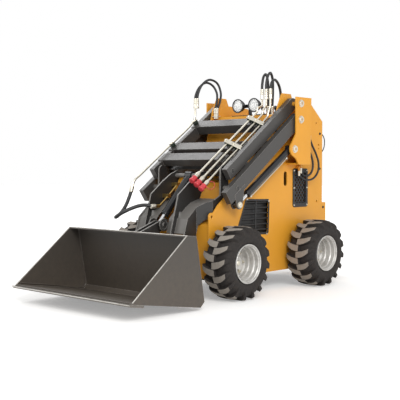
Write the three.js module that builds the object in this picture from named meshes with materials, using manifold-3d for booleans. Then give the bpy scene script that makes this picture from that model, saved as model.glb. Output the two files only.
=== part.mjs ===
// A compact stand-on wheeled loader: a plated body on four equal wheels, a tower, and a
// parallelogram lift arm that carries a gooseneck, a hitch and an earth bucket.
// Millimetres, +Z up. +X is the machine's left, the bucket points to -Y, and the ground is Z = 0.
import * as THREE from "three";
import { mergeVertices } from "three/addons/utils/BufferGeometryUtils.js";
import Module from "manifold-3d";

const wasm = await Module();
wasm.setup();

// ---- driving sizes -------------------------------------------------------------------------

const touch = 0.3; // gap between pieces that rest on each other
const running = 0.5; // radial clearance of a pin in its hole
const swing = 8; // clearance between a moving piece and what it passes

const wheelbase = 953;
const tyreRadius = 254;
const tyreWidth = 229;
const rimRadius = 127;
const tyreGap = 20; // side plate to tyre

const bodyWidth = 660;
const sideSheet = 10;
const panelSheet = 4;
const bellyHeight = 130; // ground clearance under the floor plate
const bellySheet = 8;
const noseY = -136; // front edge of the side plates
const tailY = 1288; // rear edge below the step
const backY = 1236; // rear edge above the step
const stepHeight = 629;
const backTop = 1278;
const shoulderZ = 1403; // top of the side plates behind the tower
const deckTop = 1312; // deck between the side plates

const armPivotY = 768; // lower pin of the tower
const armPivotZ = 1270;
const pinSpacing = 121; // upper pin above the lower one, on the tower and on the gooseneck
const linkLength = 877;
const restSlope = THREE.MathUtils.degToRad(35.2); // arms run down to the front
const armPinRadius = 16;
const lowerBarHeight = 100;
const lowerBarWidth = 43;
const lowerBarOverrun = 118; // bar past its front pin
const upperBarOverrun = 46;
const upperBarHeight = 88;
const upperBarWidth = 43;
const barSpacing = 6; // between upper and lower bar
const barToTower = 10;
const towerSheet = 12;
const towerTop = 1438;
const towerBottom = 931;

const liftBaseY = 690;
const liftBaseZ = 1047;
const liftEyeY = 69;
const liftEyeZ = 648;
const liftBore = 20; // radius inside the barrel
const liftBarrelRadius = 26;
const liftRodRadius = 15;

const tiltBaseY = 25;
const tiltBaseZ = 851;
const tiltEyeY = -295;
const tiltEyeZ = 512;
const tiltBarrelRadius = 28;
const tiltBore = 22;
const tiltRodRadius = 16;

const hitchPivotY = -315;
const hitchPivotZ = 152;
const bucketSheet = 9;
const bucketLip = [-1086, 112];
const bucketTopFront = [-617, 483];
const bucketTopRear = [-533, 478];
const bucketRear = [-457, 53];
const bucketHeel = [-494, 20];
const edgeDepth = 100;
const edgeSheet = 16;

const platformWidth = 560;
const platformDepth = 239;
const platformSheet = 6;
const platformZ = 215;

// ---- places worked out from them -----------------------------------------------------------

const sideX = bodyWidth / 2;
const innerX = sideX - sideSheet;
const upperBarIn = sideX + swing;
const upperBarOut = upperBarIn + upperBarWidth;
const lowerBarIn = upperBarOut + barSpacing;
const lowerBarOut = lowerBarIn + lowerBarWidth;
const towerIn = lowerBarOut + barToTower;
const towerOut = towerIn + towerSheet;
const tyreIn = sideX + tyreGap;
const tyreOut = tyreIn + tyreWidth;
const bucketHalf = tyreOut;
const floorTop = bellyHeight + bellySheet;
const liftX = towerIn - 9 - liftBarrelRadius;
const platformHingeY = tailY + 14;
const platformHingeZ = platformZ - 9;
const hingePinRadius = 6;
const knuckleRadius = 9;
const lugRound = 12;
const platformY = platformHingeY + lugRound + 4; // front edge of the tread
const knuckleHalf = 30;
const knuckleX = [-180, 180];

// A point (Y, Z) given by its distance forward along the arms from a pin and its height above
// that pin's centre line.
function onArm(pinY, pinZ, along, above) {
  const c = Math.cos(restSlope);
  const s = Math.sin(restSlope);
  return [pinY - along * c - above * s, pinZ - along * s + above * c];
}

// Height of the lower arm's centre line over a place on the body.
function armLine(y) {
  return armPivotZ - (armPivotY - y) * Math.tan(restSlope);
}

const [neckPinY, neckPinZ] = onArm(armPivotY, armPivotZ, linkLength, 0);

// ---- making solids -------------------------------------------------------------------------

function solid(geometry) {
  const bare = geometry.clone();
  bare.deleteAttribute("normal");
  bare.deleteAttribute("uv");
  const merged = mergeVertices(bare, 1e-4);
  return new wasm.Manifold(
    new wasm.Mesh({
      numProp: 3,
      vertProperties: new Float32Array(merged.attributes.position.array),
      triVerts: new Uint32Array(merged.index.array),
    }),
  );
}

function geometry(body) {
  const mesh = body.getMesh();
  const result = new THREE.BufferGeometry();
  result.setAttribute("position", new THREE.BufferAttribute(new Float32Array(mesh.vertProperties), 3));
  result.setIndex(new THREE.BufferAttribute(new Uint32Array(mesh.triVerts), 1));
  result.computeVertexNormals();
  return result;
}

function join(...bodies) {
  return bodies.reduce((sum, body) => sum.add(body));
}

function cut(body, ...tools) {
  return tools.reduce((rest, tool) => rest.subtract(tool), body);
}

function block(x0, x1, y0, y1, z0, z1) {
  const box = new THREE.BoxGeometry(x1 - x0, y1 - y0, z1 - z0);
  box.translate((x0 + x1) / 2, (y0 + y1) / 2, (z0 + z1) / 2);
  return solid(box);
}

// A plate that stands across X: its outline is given in Y and Z.
function plate(outline, x0, x1) {
  const shape = new THREE.Shape(outline.map(([y, z]) => new THREE.Vector2(y, z)));
  const flat = new THREE.ExtrudeGeometry(shape, { depth: x1 - x0, bevelEnabled: false, curveSegments: 8 });
  flat.translate(0, 0, x0);
  const toWorld = new THREE.Matrix4().makeBasis(
    new THREE.Vector3(0, 1, 0),
    new THREE.Vector3(0, 0, 1),
    new THREE.Vector3(1, 0, 0),
  );
  return solid(flat.applyMatrix4(toWorld));
}

// A slab that lies flat: its outline is given in X and Y.
function slab(outline, z0, z1) {
  const shape = new THREE.Shape(outline.map(([x, y]) => new THREE.Vector2(x, y)));
  const flat = new THREE.ExtrudeGeometry(shape, { depth: z1 - z0, bevelEnabled: false });
  flat.translate(0, 0, z0);
  return solid(flat);
}

function roundBar(radius, x0, x1, y, z, sides = 16) {
  const bar = new THREE.CylinderGeometry(radius, radius, x1 - x0, sides);
  bar.rotateZ(Math.PI / 2);
  bar.translate((x0 + x1) / 2, y, z);
  return solid(bar);
}

// A turned piece about X: its profile is a closed list of [x, radius].
function turned(profile, y, z, sides = 32) {
  const points = profile.map(([x, r]) => new THREE.Vector2(r, x));
  points.push(points[0].clone());
  const lathe = new THREE.LatheGeometry(points, sides);
  lathe.rotateZ(-Math.PI / 2);
  lathe.translate(0, y, z);
  const body = solid(lathe);
  if (body.volume() > 0) return body;
  return solid(flipped(lathe));
}

function flipped(source) {
  const turnedOver = source.clone();
  const index = turnedOver.index.array;
  for (let i = 0; i < index.length; i += 3) [index[i], index[i + 1]] = [index[i + 1], index[i]];
  return turnedOver;
}

// A round bar or tube from one (Y, Z) point to another, in the plane at x.
function strut(radius, x, from, to, sides = 16) {
  const length = Math.hypot(to[0] - from[0], to[1] - from[1]);
  const bar = new THREE.CylinderGeometry(radius, radius, length, sides);
  bar.translate(0, length / 2, 0);
  const way = new THREE.Vector3(0, to[0] - from[0], to[1] - from[1]).normalize();
  bar.applyQuaternion(new THREE.Quaternion().setFromUnitVectors(new THREE.Vector3(0, 1, 0), way));
  bar.translate(x, from[0], from[1]);
  return solid(bar);
}

function alongY(radius, x, z, y0, y1) {
  return strut(radius, x, [y0, z], [y1, z], 12);
}

// A round tube or rod bent through points [x, y, z].
function bent(points, radius, sides = 8, steps = 40) {
  const path = new THREE.CatmullRomCurve3(points.map((p) => new THREE.Vector3(...p)), false, "centripetal");
  const section = new THREE.Shape();
  for (let i = 0; i <= sides; i++) {
    const a = (2 * Math.PI * i) / sides;
    const at = [radius * Math.cos(a), radius * Math.sin(a)];
    if (i === 0) section.moveTo(...at);
    else if (i < sides) section.lineTo(...at);
  }
  return solid(new THREE.ExtrudeGeometry(section, { steps, extrudePath: path, bevelEnabled: false }));
}

// A sheet of even thickness that follows an open line of (Y, Z) points and spans x0 to x1.
// The thickness lies to the left of the line's direction.
function sheet(line, thickness, x0, x1) {
  const offset = line.map((point, i) => {
    const before = line[Math.max(i - 1, 0)];
    const after = line[Math.min(i + 1, line.length - 1)];
    const a = normal(before, i > 0 ? point : after);
    const b = normal(i < line.length - 1 ? point : before, after);
    const scale = thickness / (1 + a[0] * b[0] + a[1] * b[1]);
    return [point[0] + (a[0] + b[0]) * scale, point[1] + (a[1] + b[1]) * scale];
  });
  return plate([...line, ...offset.reverse()], x0, x1);
}

function normal(from, to) {
  const length = Math.hypot(to[0] - from[0], to[1] - from[1]);
  return [-(to[1] - from[1]) / length, (to[0] - from[0]) / length];
}

// Rounded bar outline along the arms: from `start` behind the pin to `end` ahead of it.
function barOutline(pinY, pinZ, start, end, height, roundEnd) {
  const points = [];
  const half = height / 2;
  const steps = 10;
  for (let i = 0; i <= steps; i++) {
    const a = Math.PI / 2 + (Math.PI * i) / steps;
    points.push(onArm(pinY, pinZ, start + half + half * Math.cos(a), half * Math.sin(a)));
  }
  if (roundEnd) {
    for (let i = 0; i <= steps; i++) {
      const a = -Math.PI / 2 + (Math.PI * i) / steps;
      points.push(onArm(pinY, pinZ, end - half + half * Math.cos(a), half * Math.sin(a)));
    }
  } else {
    points.push(onArm(pinY, pinZ, end, -half), onArm(pinY, pinZ, end, half));
  }
  return points.reverse();
}

function arc(y, z, radius, fromDeg, toDeg, steps = 8) {
  const points = [];
  for (let i = 0; i <= steps; i++) {
    const a = THREE.MathUtils.degToRad(fromDeg + ((toDeg - fromDeg) * i) / steps);
    points.push([y + radius * Math.cos(a), z + radius * Math.sin(a)]);
  }
  return points;
}

// ---- materials and the scene graph -----------------------------------------------------------

const machine = new THREE.Group();

const finishes = {
  yellow: { color: 0xe6a53a, roughness: 0.45, metalness: 0.0 },
  charcoal: { color: 0x4a4845, roughness: 0.55, metalness: 0.1 },
  black: { color: 0x1c1c1d, roughness: 0.6, metalness: 0.0 },
  bucketPaint: { color: 0x554e4a, roughness: 0.6, metalness: 0.1 },
  edgeSteel: { color: 0x7d7a76, roughness: 0.45, metalness: 0.8 },
  silver: { color: 0xc9c9c7, roughness: 0.4, metalness: 0.7 },
  rubber: { color: 0x2b2826, roughness: 0.9, metalness: 0.0 },
  rod: { color: 0xd8d8d8, roughness: 0.12, metalness: 1.0 },
  zinc: { color: 0xc8c3b2, roughness: 0.35, metalness: 0.8 },
  hose: { color: 0x161617, roughness: 0.7, metalness: 0.0 },
  lens: { color: 0xe8ecee, roughness: 0.1, metalness: 0.0 },
  tread: { color: 0x3a3a3a, roughness: 0.7, metalness: 0.3 },
};

function piece(name, body, finish) {
  const mesh = new THREE.Mesh(geometry(body), new THREE.MeshStandardMaterial(finishes[finish]));
  mesh.name = name;
  machine.add(mesh);
  return mesh;
}

const sides = [
  ["left", 1],
  ["right", -1],
];

// The same solid on the other side of the machine.
function mirrored(body, side) {
  return side > 0 ? body : body.mirror([1, 0, 0]);
}

// ---- body ------------------------------------------------------------------------------------

// The hood and the side plates' upper front edges run this far under the lower arm's centre line.
const plateDrop = 50;
const hoodDrop = 62;
const lugRadius = 30;
const lugY = noseY + lugRadius;
const lugZ = 568;
const earTop = 1470;

function sidePlateOutline() {
  return [
    [noseY, bellyHeight],
    [tailY, bellyHeight],
    [tailY, stepHeight],
    [backY, stepHeight],
    [backY, backTop],
    [1082, shoulderZ],
    [835, shoulderZ + 9],
    [805, earTop],
    [695, earTop],
    [640, 1366],
    [580, 1150],
    [562, armLine(562) - plateDrop],
    [-40, armLine(-40) - plateDrop],
    ...arc(lugY, lugZ, lugRadius, 60, 180, 6),
  ];
}

// Side openings: the louvre, the perforated screen and the slot between them.
const louvreOutline = [
  [168, 432],
  [508, 423],
  [522, 438],
  [532, 650],
  [519, 667],
  [276, 673],
  [262, 664],
  [160, 446],
];
const screen = { y0: 844, y1: 1020, z0: 614, z1: 890, round: 14 };
const slot = { y: 741, z0: 768, z1: 879, width: 44 };

// Small holes near the rear edge: [y, z, radius].
const rearHoles = [
  [1150, 1262, 8],
  [1186, 1091, 8],
  [1184, 1060, 6],
  [1160, 640, 9],
];

function roundedRect(y0, y1, z0, z1, r) {
  return [
    ...arc(y1 - r, z1 - r, r, 0, 90, 4),
    ...arc(y0 + r, z1 - r, r, 90, 180, 4),
    ...arc(y0 + r, z0 + r, r, 180, 270, 4),
    ...arc(y1 - r, z0 + r, r, 270, 360, 4),
  ];
}

function sidePlate() {
  const through = [innerX - 5, sideX + 5];
  return cut(
    plate(sidePlateOutline(), innerX, sideX),
    ...rearHoles.map(([y, z, r]) => roundBar(r, ...through, y, z, 12)),
    plate(louvreOutline, ...through),
    plate(roundedRect(screen.y0, screen.y1, screen.z0, screen.z1, screen.round), ...through),
    plate(roundedRect(slot.y - slot.width / 2, slot.y + slot.width / 2, slot.z0, slot.z1, 20), ...through),
    roundBar(11, ...through, lugY, lugZ, 20),
  );
}

// A dark insert of slats behind the opening, held by a frame on the plate's inner face.
const louvreRim = 15;

function sideLouvre() {
  const ys = louvreOutline.map(([y]) => y);
  const zs = louvreOutline.map(([, z]) => z);
  const [y0, y1] = [Math.min(...ys) - louvreRim, Math.max(...ys) + louvreRim];
  const [z0, z1] = [Math.min(...zs) - louvreRim, Math.max(...zs) + louvreRim];
  const back = innerX - touch;
  const frame = cut(block(back - 4, back, y0, y1, z0, z1), plate(louvreOutline, back - 10, back + 10));
  const slats = [];
  const count = 6;
  for (let i = 0; i < count; i++) {
    const z = z0 + 24 + ((z1 - z0 - 48) * i) / (count - 1);
    slats.push(tiltedSlat(y0, y1, z, back));
  }
  return join(frame, ...slats);
}

// One slat: a thin strip along Y whose top leans inward.
function tiltedSlat(y0, y1, z, back) {
  const section = new THREE.Shape([
    new THREE.Vector2(back - 3, z - 17),
    new THREE.Vector2(back - 0.5, z - 17),
    new THREE.Vector2(back - 14, z + 17),
    new THREE.Vector2(back - 16.5, z + 17),
  ]);
  const flat = new THREE.ExtrudeGeometry(section, { depth: y1 - y0, bevelEnabled: false });
  const toWorld = new THREE.Matrix4().makeBasis(
    new THREE.Vector3(1, 0, 0),
    new THREE.Vector3(0, 0, 1),
    new THREE.Vector3(0, -1, 0),
  );
  flat.applyMatrix4(toWorld);
  flat.translate(0, y1, 0);
  return solid(flat);
}

function sideScreen() {
  const back = innerX - touch;
  const rim = 12;
  const outline = roundedRect(screen.y0 - rim, screen.y1 + rim, screen.z0 - rim, screen.z1 + rim, 10);
  return plate(outline, back - 2, back);
}

const panelX = innerX - touch; // half width of what fits between the side plates

// Front panel and hood: one bent sheet from the floor up the nose and back under the arms.
const hoodLine = [
  [noseY + 6, floorTop + touch],
  [noseY + 6, 512],
  [60, 590],
  [150, armLine(150) - hoodDrop],
  [545, armLine(545) - hoodDrop],
  [585, 1150],
  [668, deckTop],
  [745, deckTop],
];
const grille = { y0: 190, y1: 500, halfWidth: 200 };

function hood() {
  const skin = sheet([...hoodLine].reverse(), panelSheet, -panelX, panelX);
  const opening = plate(
    [
      [grille.y0, armLine(grille.y0) - hoodDrop - 30],
      [grille.y1, armLine(grille.y1) - hoodDrop - 30],
      [grille.y1, armLine(grille.y1) - hoodDrop + 30],
      [grille.y0, armLine(grille.y0) - hoodDrop + 30],
    ],
    -grille.halfWidth,
    grille.halfWidth,
  );
  return cut(skin, opening);
}

// A dark grille under the hood's opening: a flanged frame with slats across it.
function hoodGrille() {
  const under = hoodDrop + (panelSheet + touch) / Math.cos(restSlope) + 2;
  const margin = 12;
  const z = (y, down) => armLine(y) - under - down;
  const [y0, y1] = [grille.y0 - margin, grille.y1 + margin];
  const rimHalf = grille.halfWidth + margin;
  const slatHalf = grille.halfWidth + 4;
  const rim = cut(
    plate([[y0, z(y0, 5)], [y1, z(y1, 5)], [y1, z(y1, 0)], [y0, z(y0, 0)]], -rimHalf, rimHalf),
    block(-grille.halfWidth, grille.halfWidth, grille.y0, grille.y1, 0, 2000),
  );
  const slats = [];
  const count = 9;
  for (let i = 0; i < count; i++) {
    const y = grille.y0 + ((grille.y1 - grille.y0) * (i + 0.5)) / count;
    const section = [[y - 10, z(y, 8)], [y + 6, z(y, 6)], [y + 6, z(y, 3)], [y - 10, z(y, 5)]];
    slats.push(plate(section, -slatHalf, slatHalf));
  }
  return join(rim, ...slats);
}

// Deck behind the arms: from the hood's rear edge up, level, and down the slope to the rear panel.
const deckLine = [
  [745 + touch, deckTop],
  [1120, deckTop],
  [backY - 6, backTop - 6],
];

function topDeck() {
  return sheet([...deckLine].reverse(), panelSheet, -panelX, panelX);
}

function rearPanel() {
  const line = [
    [backY - 6, backTop - 16],
    [backY - 6, stepHeight],
    [tailY - 6, stepHeight],
    [tailY - 6, floorTop + touch],
  ];
  const lug = [
    [tailY - 7, platformHingeZ - lugRound],
    ...arc(platformHingeY, platformHingeZ, lugRound, -90, 90, 6),
    [tailY - 7, platformHingeZ + lugRound],
  ];
  const lugSheet = 8;
  const pinHole = roundBar(hingePinRadius + running, -panelX, panelX, platformHingeY, platformHingeZ);
  const lugs = knuckleX.flatMap((x) =>
    [x - knuckleHalf - 1 - lugSheet, x + knuckleHalf + 1].map((at) =>
      cut(plate(lug, at, at + lugSheet), pinHole),
    ),
  );
  const cableEnds = [rearCable[0], rearCable[rearCable.length - 1]];
  const glands = cableEnds.map(([x, y, z]) => alongY(9, x, z, backY - 8, y - touch));
  return join(sheet([...line].reverse(), panelSheet, -panelX, panelX), ...lugs, ...glands);
}

function floorPlate() {
  return block(-panelX, panelX, noseY + 6, tailY - 6, bellyHeight, floorTop);
}

function engineBlock() {
  const under = floorTop + touch;
  return join(block(-190, 190, 480, 1000, under + 40, 720), block(-150, 150, 520, 960, under, under + 60));
}

// ---- operator's end ----------------------------------------------------------------------------

const dash = { y0: 985, y1: 1110, halfWidth: 190, height: 34 };

function consoleBox() {
  const z = deckTop + touch;
  return block(-dash.halfWidth, dash.halfWidth, dash.y0, dash.y1, z, z + dash.height);
}

// Drive and function levers on one mounting plate, standing on the console.
function controlLevers() {
  const z = deckTop + touch + dash.height + touch;
  const y = (dash.y0 + dash.y1) / 2;
  const base = block(-160, 160, y - 18, y + 18, z, z + 4);
  const stems = [-130, -55, 0, 55, 130].map((x) =>
    join(bent([[x, y, z + 3], [x, y + 10, z + 45]], 5, 8, 2), ballAt(x, y + 11, z + 48, 12)),
  );
  return join(base, ...stems);
}

function ballAt(x, y, z, r) {
  const ball = new THREE.SphereGeometry(r, 8, 5);
  ball.translate(x, y, z);
  return solid(ball);
}

// Grab rail: a hoop on the rear panel that the operator holds.
function grabRail() {
  const y = backY - 6 + touch;
  const z = 1130;
  return bent(
    [
      [-230, y, z - 60], [-230, y + 12, z - 60], [-230, y + 40, z - 54], [-225, y + 62, z - 30],
      [-190, y + 75, z], [0, y + 78, z + 6], [190, y + 75, z],
      [225, y + 62, z - 30], [230, y + 40, z - 54], [230, y + 12, z - 60], [230, y, z - 60],
    ],
    12.5,
    8,
    24,
  );
}

// ---- tower ---------------------------------------------------------------------------------------

const towerFront = 709;
const towerRear = 904;
const noseRadius = 55;
const pinHead = 24;

function towerOutline() {
  return [
    [towerFront + 36, towerBottom],
    [towerRear - 8, towerBottom],
    [towerRear, towerTop],
    [towerFront, towerTop],
    [towerFront, 1160],
    ...arc(liftBaseY, liftBaseZ, noseRadius, 125, 250, 8),
    [towerFront + 2, 975],
  ];
}

// The outer plate with its bottom ledge, its rear web and the three pins that it holds.
function tower() {
  const inner = sideX + touch;
  const outer = plate(towerOutline(), towerIn, towerOut);
  const ledgeTop = towerBottom + towerSheet;
  const ledge = block(inner, towerIn + 1, towerFront + 36, towerRear - 8, towerBottom, ledgeTop);
  const web = block(inner, towerIn + 1, towerRear - 22, towerRear - 10, towerBottom, 1405);
  const pins = [
    [armPivotY, armPivotZ + pinSpacing],
    [armPivotY, armPivotZ],
    [liftBaseY, liftBaseZ],
  ].map(([y, z]) =>
    join(
      roundBar(armPinRadius, inner, towerOut + 9, y, z),
      roundBar(pinHead, towerOut - 1, towerOut + 9, y, z),
    ),
  );
  return join(outer, ledge, web, ...pins);
}

// Two round work lamps on one dark bracket across the hood.
const lamp = { x: 80, z: 1392, radius: 55, depth: 60, y: 690 };

function lampPair() {
  const foot = deckTop + touch;
  const bracket = join(
    block(-150, 150, lamp.y - 20, lamp.y + 40, foot, foot + 6),
    block(-12, 12, lamp.y + 20, lamp.y + 40, foot, lamp.z + 20),
    block(-lamp.x, lamp.x, lamp.y + 28, lamp.y + 40, lamp.z - 12, lamp.z + 12),
  );
  const cans = [-lamp.x, lamp.x].map((x) => {
    const can = new THREE.CylinderGeometry(lamp.radius, lamp.radius * 0.75, lamp.depth, 32);
    can.rotateX(Math.PI);
    can.translate(x, lamp.y, lamp.z);
    return solid(can);
  });
  return join(bracket, ...cans);
}

// ---- wheels --------------------------------------------------------------------------------------

const discX = tyreIn + 96; // outer face of the wheel disc
const discSheet = 8;
const motorRadius = 62;
const hubRadius = 44;

// The hydraulic motor that carries the wheel: bolted to the side plate, with its flange at the disc.
function wheelMotor(y) {
  const face = discX - discSheet - 0.6;
  return turned(
    [
      [sideX + touch, 0],
      [face, 0],
      [face, motorRadius],
      [face - 14, motorRadius],
      [face - 14, motorRadius - 12],
      [sideX + 14, motorRadius - 12],
      [sideX + 14, 88],
      [sideX + touch, 88],
    ],
    y,
    tyreRadius,
    20,
  );
}

function rim(y) {
  const wall = 5;
  const lip = rimRadius + 8;
  const [a, b] = [tyreIn + 22, tyreOut - 6];
  return turned(
    [
      [discX - discSheet, 0],
      [discX + 30, 0],
      [discX + 30, hubRadius],
      [discX, hubRadius],
      [discX, rimRadius - wall - 8],
      [b - 16, rimRadius - wall - 2],
      [b, lip],
      [b - 16, rimRadius],
      [a + 14, rimRadius],
      [a, lip],
      [a + 4, rimRadius - wall],
      [discX - discSheet, rimRadius - wall],
    ],
    y,
    tyreRadius,
    24,
  );
}

function tyre(y) {
  const R = tyreRadius;
  const r = rimRadius + 0.6;
  const [a, b] = [tyreIn, tyreOut];
  return turned(
    [
      [a + 38, r],
      [a + 6, r + 30],
      [a, R - 58],
      [a + 20, R - 10],
      [a + 60, R],
      [b - 60, R],
      [b - 20, R - 10],
      [b, R - 58],
      [b - 6, r + 30],
      [b - 24, r],
    ],
    y,
    tyreRadius,
    24,
  );
}

// ---- arms ----------------------------------------------------------------------------------------

const crossDepth = 90; // cross tubes, along the arm
const lowerCross = { at: [358, 640], below: 30, above: 24 };
const upperCross = { at: [308, 624, 764], below: [20, 20, 4], above: 50 };
// Rebates for the three lines in the left ends of the cross tubes.
const lineSteps = [
  { x: 214, above: 30 },
  { x: 254, above: 4 },
];

function crossTube(pinY, pinZ, at, below, above, right, left) {
  const d = crossDepth / 2;
  const corners = [
    [at + d, -below],
    [at - d, -below],
    [at - d, above],
    [at + d, above],
  ];
  return plate(corners.map(([along, up]) => onArm(pinY, pinZ, along, up)), -right, left);
}

// Clevis plates that hang the lift cylinder's rod eye under the lower bar.
const clevisSheet = 10;
const eyeWidth = 24;
const rodGap = 3; // rod to the clevis plates on each side

function liftClevis() {
  const eye = [liftEyeY, liftEyeZ];
  const foot = (along, above) => onArm(armPivotY, armPivotZ, along, above);
  const outline = [foot(930, -20), foot(800, -20), ...arc(...eye, 30, -20, -160, 8)].reverse();
  return [liftX - rodGap - liftRodRadius - clevisSheet, liftX + rodGap + liftRodRadius].map((x) =>
    plate(outline, x, x + clevisSheet),
  );
}

function lowerArm() {
  const bars = [];
  for (const [, side] of sides) {
    const end = linkLength + lowerBarOverrun;
    const outline = barOutline(armPivotY, armPivotZ, -lowerBarHeight / 2, end, lowerBarHeight, false);
    const bar = cut(
      plate(outline, lowerBarIn, lowerBarOut),
      roundBar(armPinRadius + running, lowerBarIn - 5, lowerBarOut + 5, armPivotY, armPivotZ),
      roundBar(armPinRadius + running, lowerBarIn - 5, lowerBarOut + 5, neckPinY, neckPinZ),
    );
    bars.push(mirrored(join(bar, ...liftClevis()), side));
  }
  const tubes = lowerCross.at.map((at) =>
    crossTube(armPivotY, armPivotZ, at, lowerCross.below, lowerCross.above, lowerBarIn + 1, lowerBarIn + 1),
  );
  return join(...bars, ...tubes);
}

function upperArm() {
  const z = armPivotZ + pinSpacing;
  const bars = [];
  for (const [, side] of sides) {
    const end = linkLength + upperBarOverrun;
    const outline = barOutline(armPivotY, z, -upperBarHeight / 2, end, upperBarHeight, false);
    const bar = cut(
      plate(outline, upperBarIn, upperBarOut),
      roundBar(armPinRadius + running, upperBarIn - 5, upperBarOut + 5, armPivotY, z),
      roundBar(armPinRadius + running, upperBarIn - 5, upperBarOut + 5, neckPinY, neckPinZ + pinSpacing),
    );
    bars.push(mirrored(bar, side));
  }
  const tubes = upperCross.at.map((at, i) =>
    cut(
      crossTube(armPivotY, z, at, upperCross.below[i], upperCross.above, upperBarOut + 3, upperBarIn + 1),
      ...lineSteps.map(({ x, above }) =>
        plate(
          [[at + 60, above], [at - 60, above], [at - 60, 80], [at + 60, 80]].map(([along, up]) =>
            onArm(armPivotY, z, along, up),
          ),
          x,
          upperBarIn,
        ),
      ),
    ),
  );
  return join(...bars, ...tubes);
}

// ---- gooseneck -----------------------------------------------------------------------------------

const neckSheet = 12;
const neckRearX = sideX - swing - neckSheet * 1.5; // mid-plane of the outer plates at the arms
const neckHitchX = 237; // mid-plane of the outer plates at the hitch
const neckInnerX = 134;

// Outer plates: a curved band seen from the side, and bent inward in plan ahead of the body.
function neckOuter() {
  const band = [
    [neckPinY + 30, neckPinZ - 35],
    [-23, 608],
    [-75, 577],
    [-135, 535],
    [-160, 510],
    [-171, 437],
    [-195, 280],
    ...arc(hitchPivotY, hitchPivotZ, 42, -30, -200, 8),
    [-318, 300],
    [-288, 457],
    [-255, 559],
    [-165, 637],
    [-115, 667],
    [-50, 686],
    [neckPinY - 44, neckPinZ - 50],
    [neckPinY - 42, neckPinZ + pinSpacing + 6],
    ...arc(neckPinY, neckPinZ + pinSpacing, 42, 160, 0, 8),
    [neckPinY + 42, neckPinZ],
  ];
  const halfSheet = neckSheet / 2;
  const plan = [
    [neckRearX + halfSheet, 120],
    [neckRearX - halfSheet, 120],
    [neckRearX - halfSheet, -72],
    [neckHitchX - halfSheet, -166],
    [neckHitchX - halfSheet, -380],
    [neckHitchX + halfSheet, -380],
    [neckHitchX + halfSheet, -169],
    [neckRearX + halfSheet, -75],
  ];
  return slab(plan, 60, 1000).intersect(plate(band, 150, 400));
}

// Inner plates that carry the tilt cylinder's barrel between them.
function neckInner() {
  const band = [
    ...arc(tiltBaseY, tiltBaseZ, 36, 90, -60, 8),
    [-30, 672],
    [-150, 640],
    [-189, 600],
    [-232, 604],
    [-262, 452],
    [-316, 453],
    [-260, 647],
    [-240, 720],
    [-121, 811],
    [-40, 862],
  ];
  return plate([...band].reverse(), neckInnerX - neckSheet / 2, neckInnerX + neckSheet / 2);
}

// Cross plate wrapped over the outer plates' front edges, open in the middle for the tilt cylinder.
function neckWrap() {
  const line = [
    [4, 690],
    [-50, 682],
    [-115, 662],
    [-165, 632],
    [-250, 556],
    [-280, 457],
  ];
  const wrap = sheet(line, 10, -320, 320);
  const plan = [
    [neckRearX, 120],
    [-neckRearX, 120],
    [-neckRearX, -74],
    [-neckHitchX, -168],
    [-neckHitchX, -380],
    [neckHitchX, -380],
    [neckHitchX, -168],
    [neckRearX, -74],
  ].reverse();
  return cut(wrap.intersect(slab(plan, 300, 800)), block(-62, 62, -400, -62, 300, 800));
}

function gooseneck() {
  const pins = sides.flatMap(([, side]) => [
    mirrored(roundBar(armPinRadius, neckRearX, lowerBarOut + 4, neckPinY, neckPinZ), side),
    mirrored(roundBar(armPinRadius, neckRearX, upperBarOut + 3, neckPinY, neckPinZ + pinSpacing), side),
  ]);
  const halves = sides.flatMap(([, side]) => [mirrored(neckOuter(), side), mirrored(neckInner(), side)]);
  const tiltPin = roundBar(armPinRadius, -neckInnerX, neckInnerX, tiltBaseY, tiltBaseZ);
  const hitchPin = roundBar(armPinRadius, neckHitchX - 34, neckHitchX + 34, hitchPivotY, hitchPivotZ);
  const hitchPins = sides.map(([, side]) => mirrored(hitchPin, side));
  return join(neckWrap(), ...halves, ...pins, tiltPin, ...hitchPins);
}

// ---- hydraulic cylinders ---------------------------------------------------------------------------

function between(from, to, distance) {
  const [dy, dz] = [to[0] - from[0], to[1] - from[1]];
  const share = distance / Math.hypot(dy, dz);
  return [from[0] + dy * share, from[1] + dz * share];
}

const glandDepth = 14;
const boreStart = 50;
const pistonDepth = 18;

// Barrel: an eye on its pin and a bored tube whose front gland the rod passes through.
function barrel(x, base, eye, length, radius, bore, rodRadius, width) {
  const mouth = between(base, eye, length);
  const bored = between(base, eye, length - glandDepth);
  const tube = join(
    strut(radius, x, between(base, eye, 34), mouth, 16),
    strut(radius + 3, x, between(base, eye, length - 22), mouth, 16),
    roundBar(30, x - width / 2, x + width / 2, ...base, 20),
    strut(radius * 0.8, x, between(base, eye, 20), between(base, eye, 46), 16),
  );
  const glandHole = [between(base, eye, length - glandDepth - 4), between(base, eye, length + 10)];
  return cut(
    tube,
    roundBar(armPinRadius + running, x - width, x + width, ...base),
    strut(bore, x, between(base, eye, boreStart), bored, 16),
    strut(rodRadius + running, x, ...glandHole, 16),
  );
}

// Rod: a chromed bar with a solid round eye that lies between the clevis plates.
function rod(x, base, eye, start, radius, piston, width) {
  return join(
    strut(radius, x, between(base, eye, start), eye, 16),
    strut(piston - 0.6, x, between(base, eye, start), between(base, eye, start + pistonDepth), 16),
    roundBar(25, x - width / 2, x + width / 2, ...eye, 20),
  );
}

const liftBase = [liftBaseY, liftBaseZ];
const liftEye = [liftEyeY, liftEyeZ];
const tiltBase = [tiltBaseY, tiltBaseZ];
const tiltEye = [tiltEyeY, tiltEyeZ];

// ---- hydraulic lines -----------------------------------------------------------------------------------

const upperPinZ = armPivotZ + pinSpacing;
const lineRadius = 8;
const lineX = [196, 236, 276]; // the three lines on the left of the upper frame
const lineAbove = [68, 44, 20]; // their centres over the upper centre line
const lineFronts = [1000, 1013, 1027]; // where each line ends in its coupler
const clampAt = upperCross.at.slice(0, 2);
const fittingZ = 1462;

function onUpper(along, above) {
  return onArm(armPivotY, upperPinZ, along, above);
}

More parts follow.
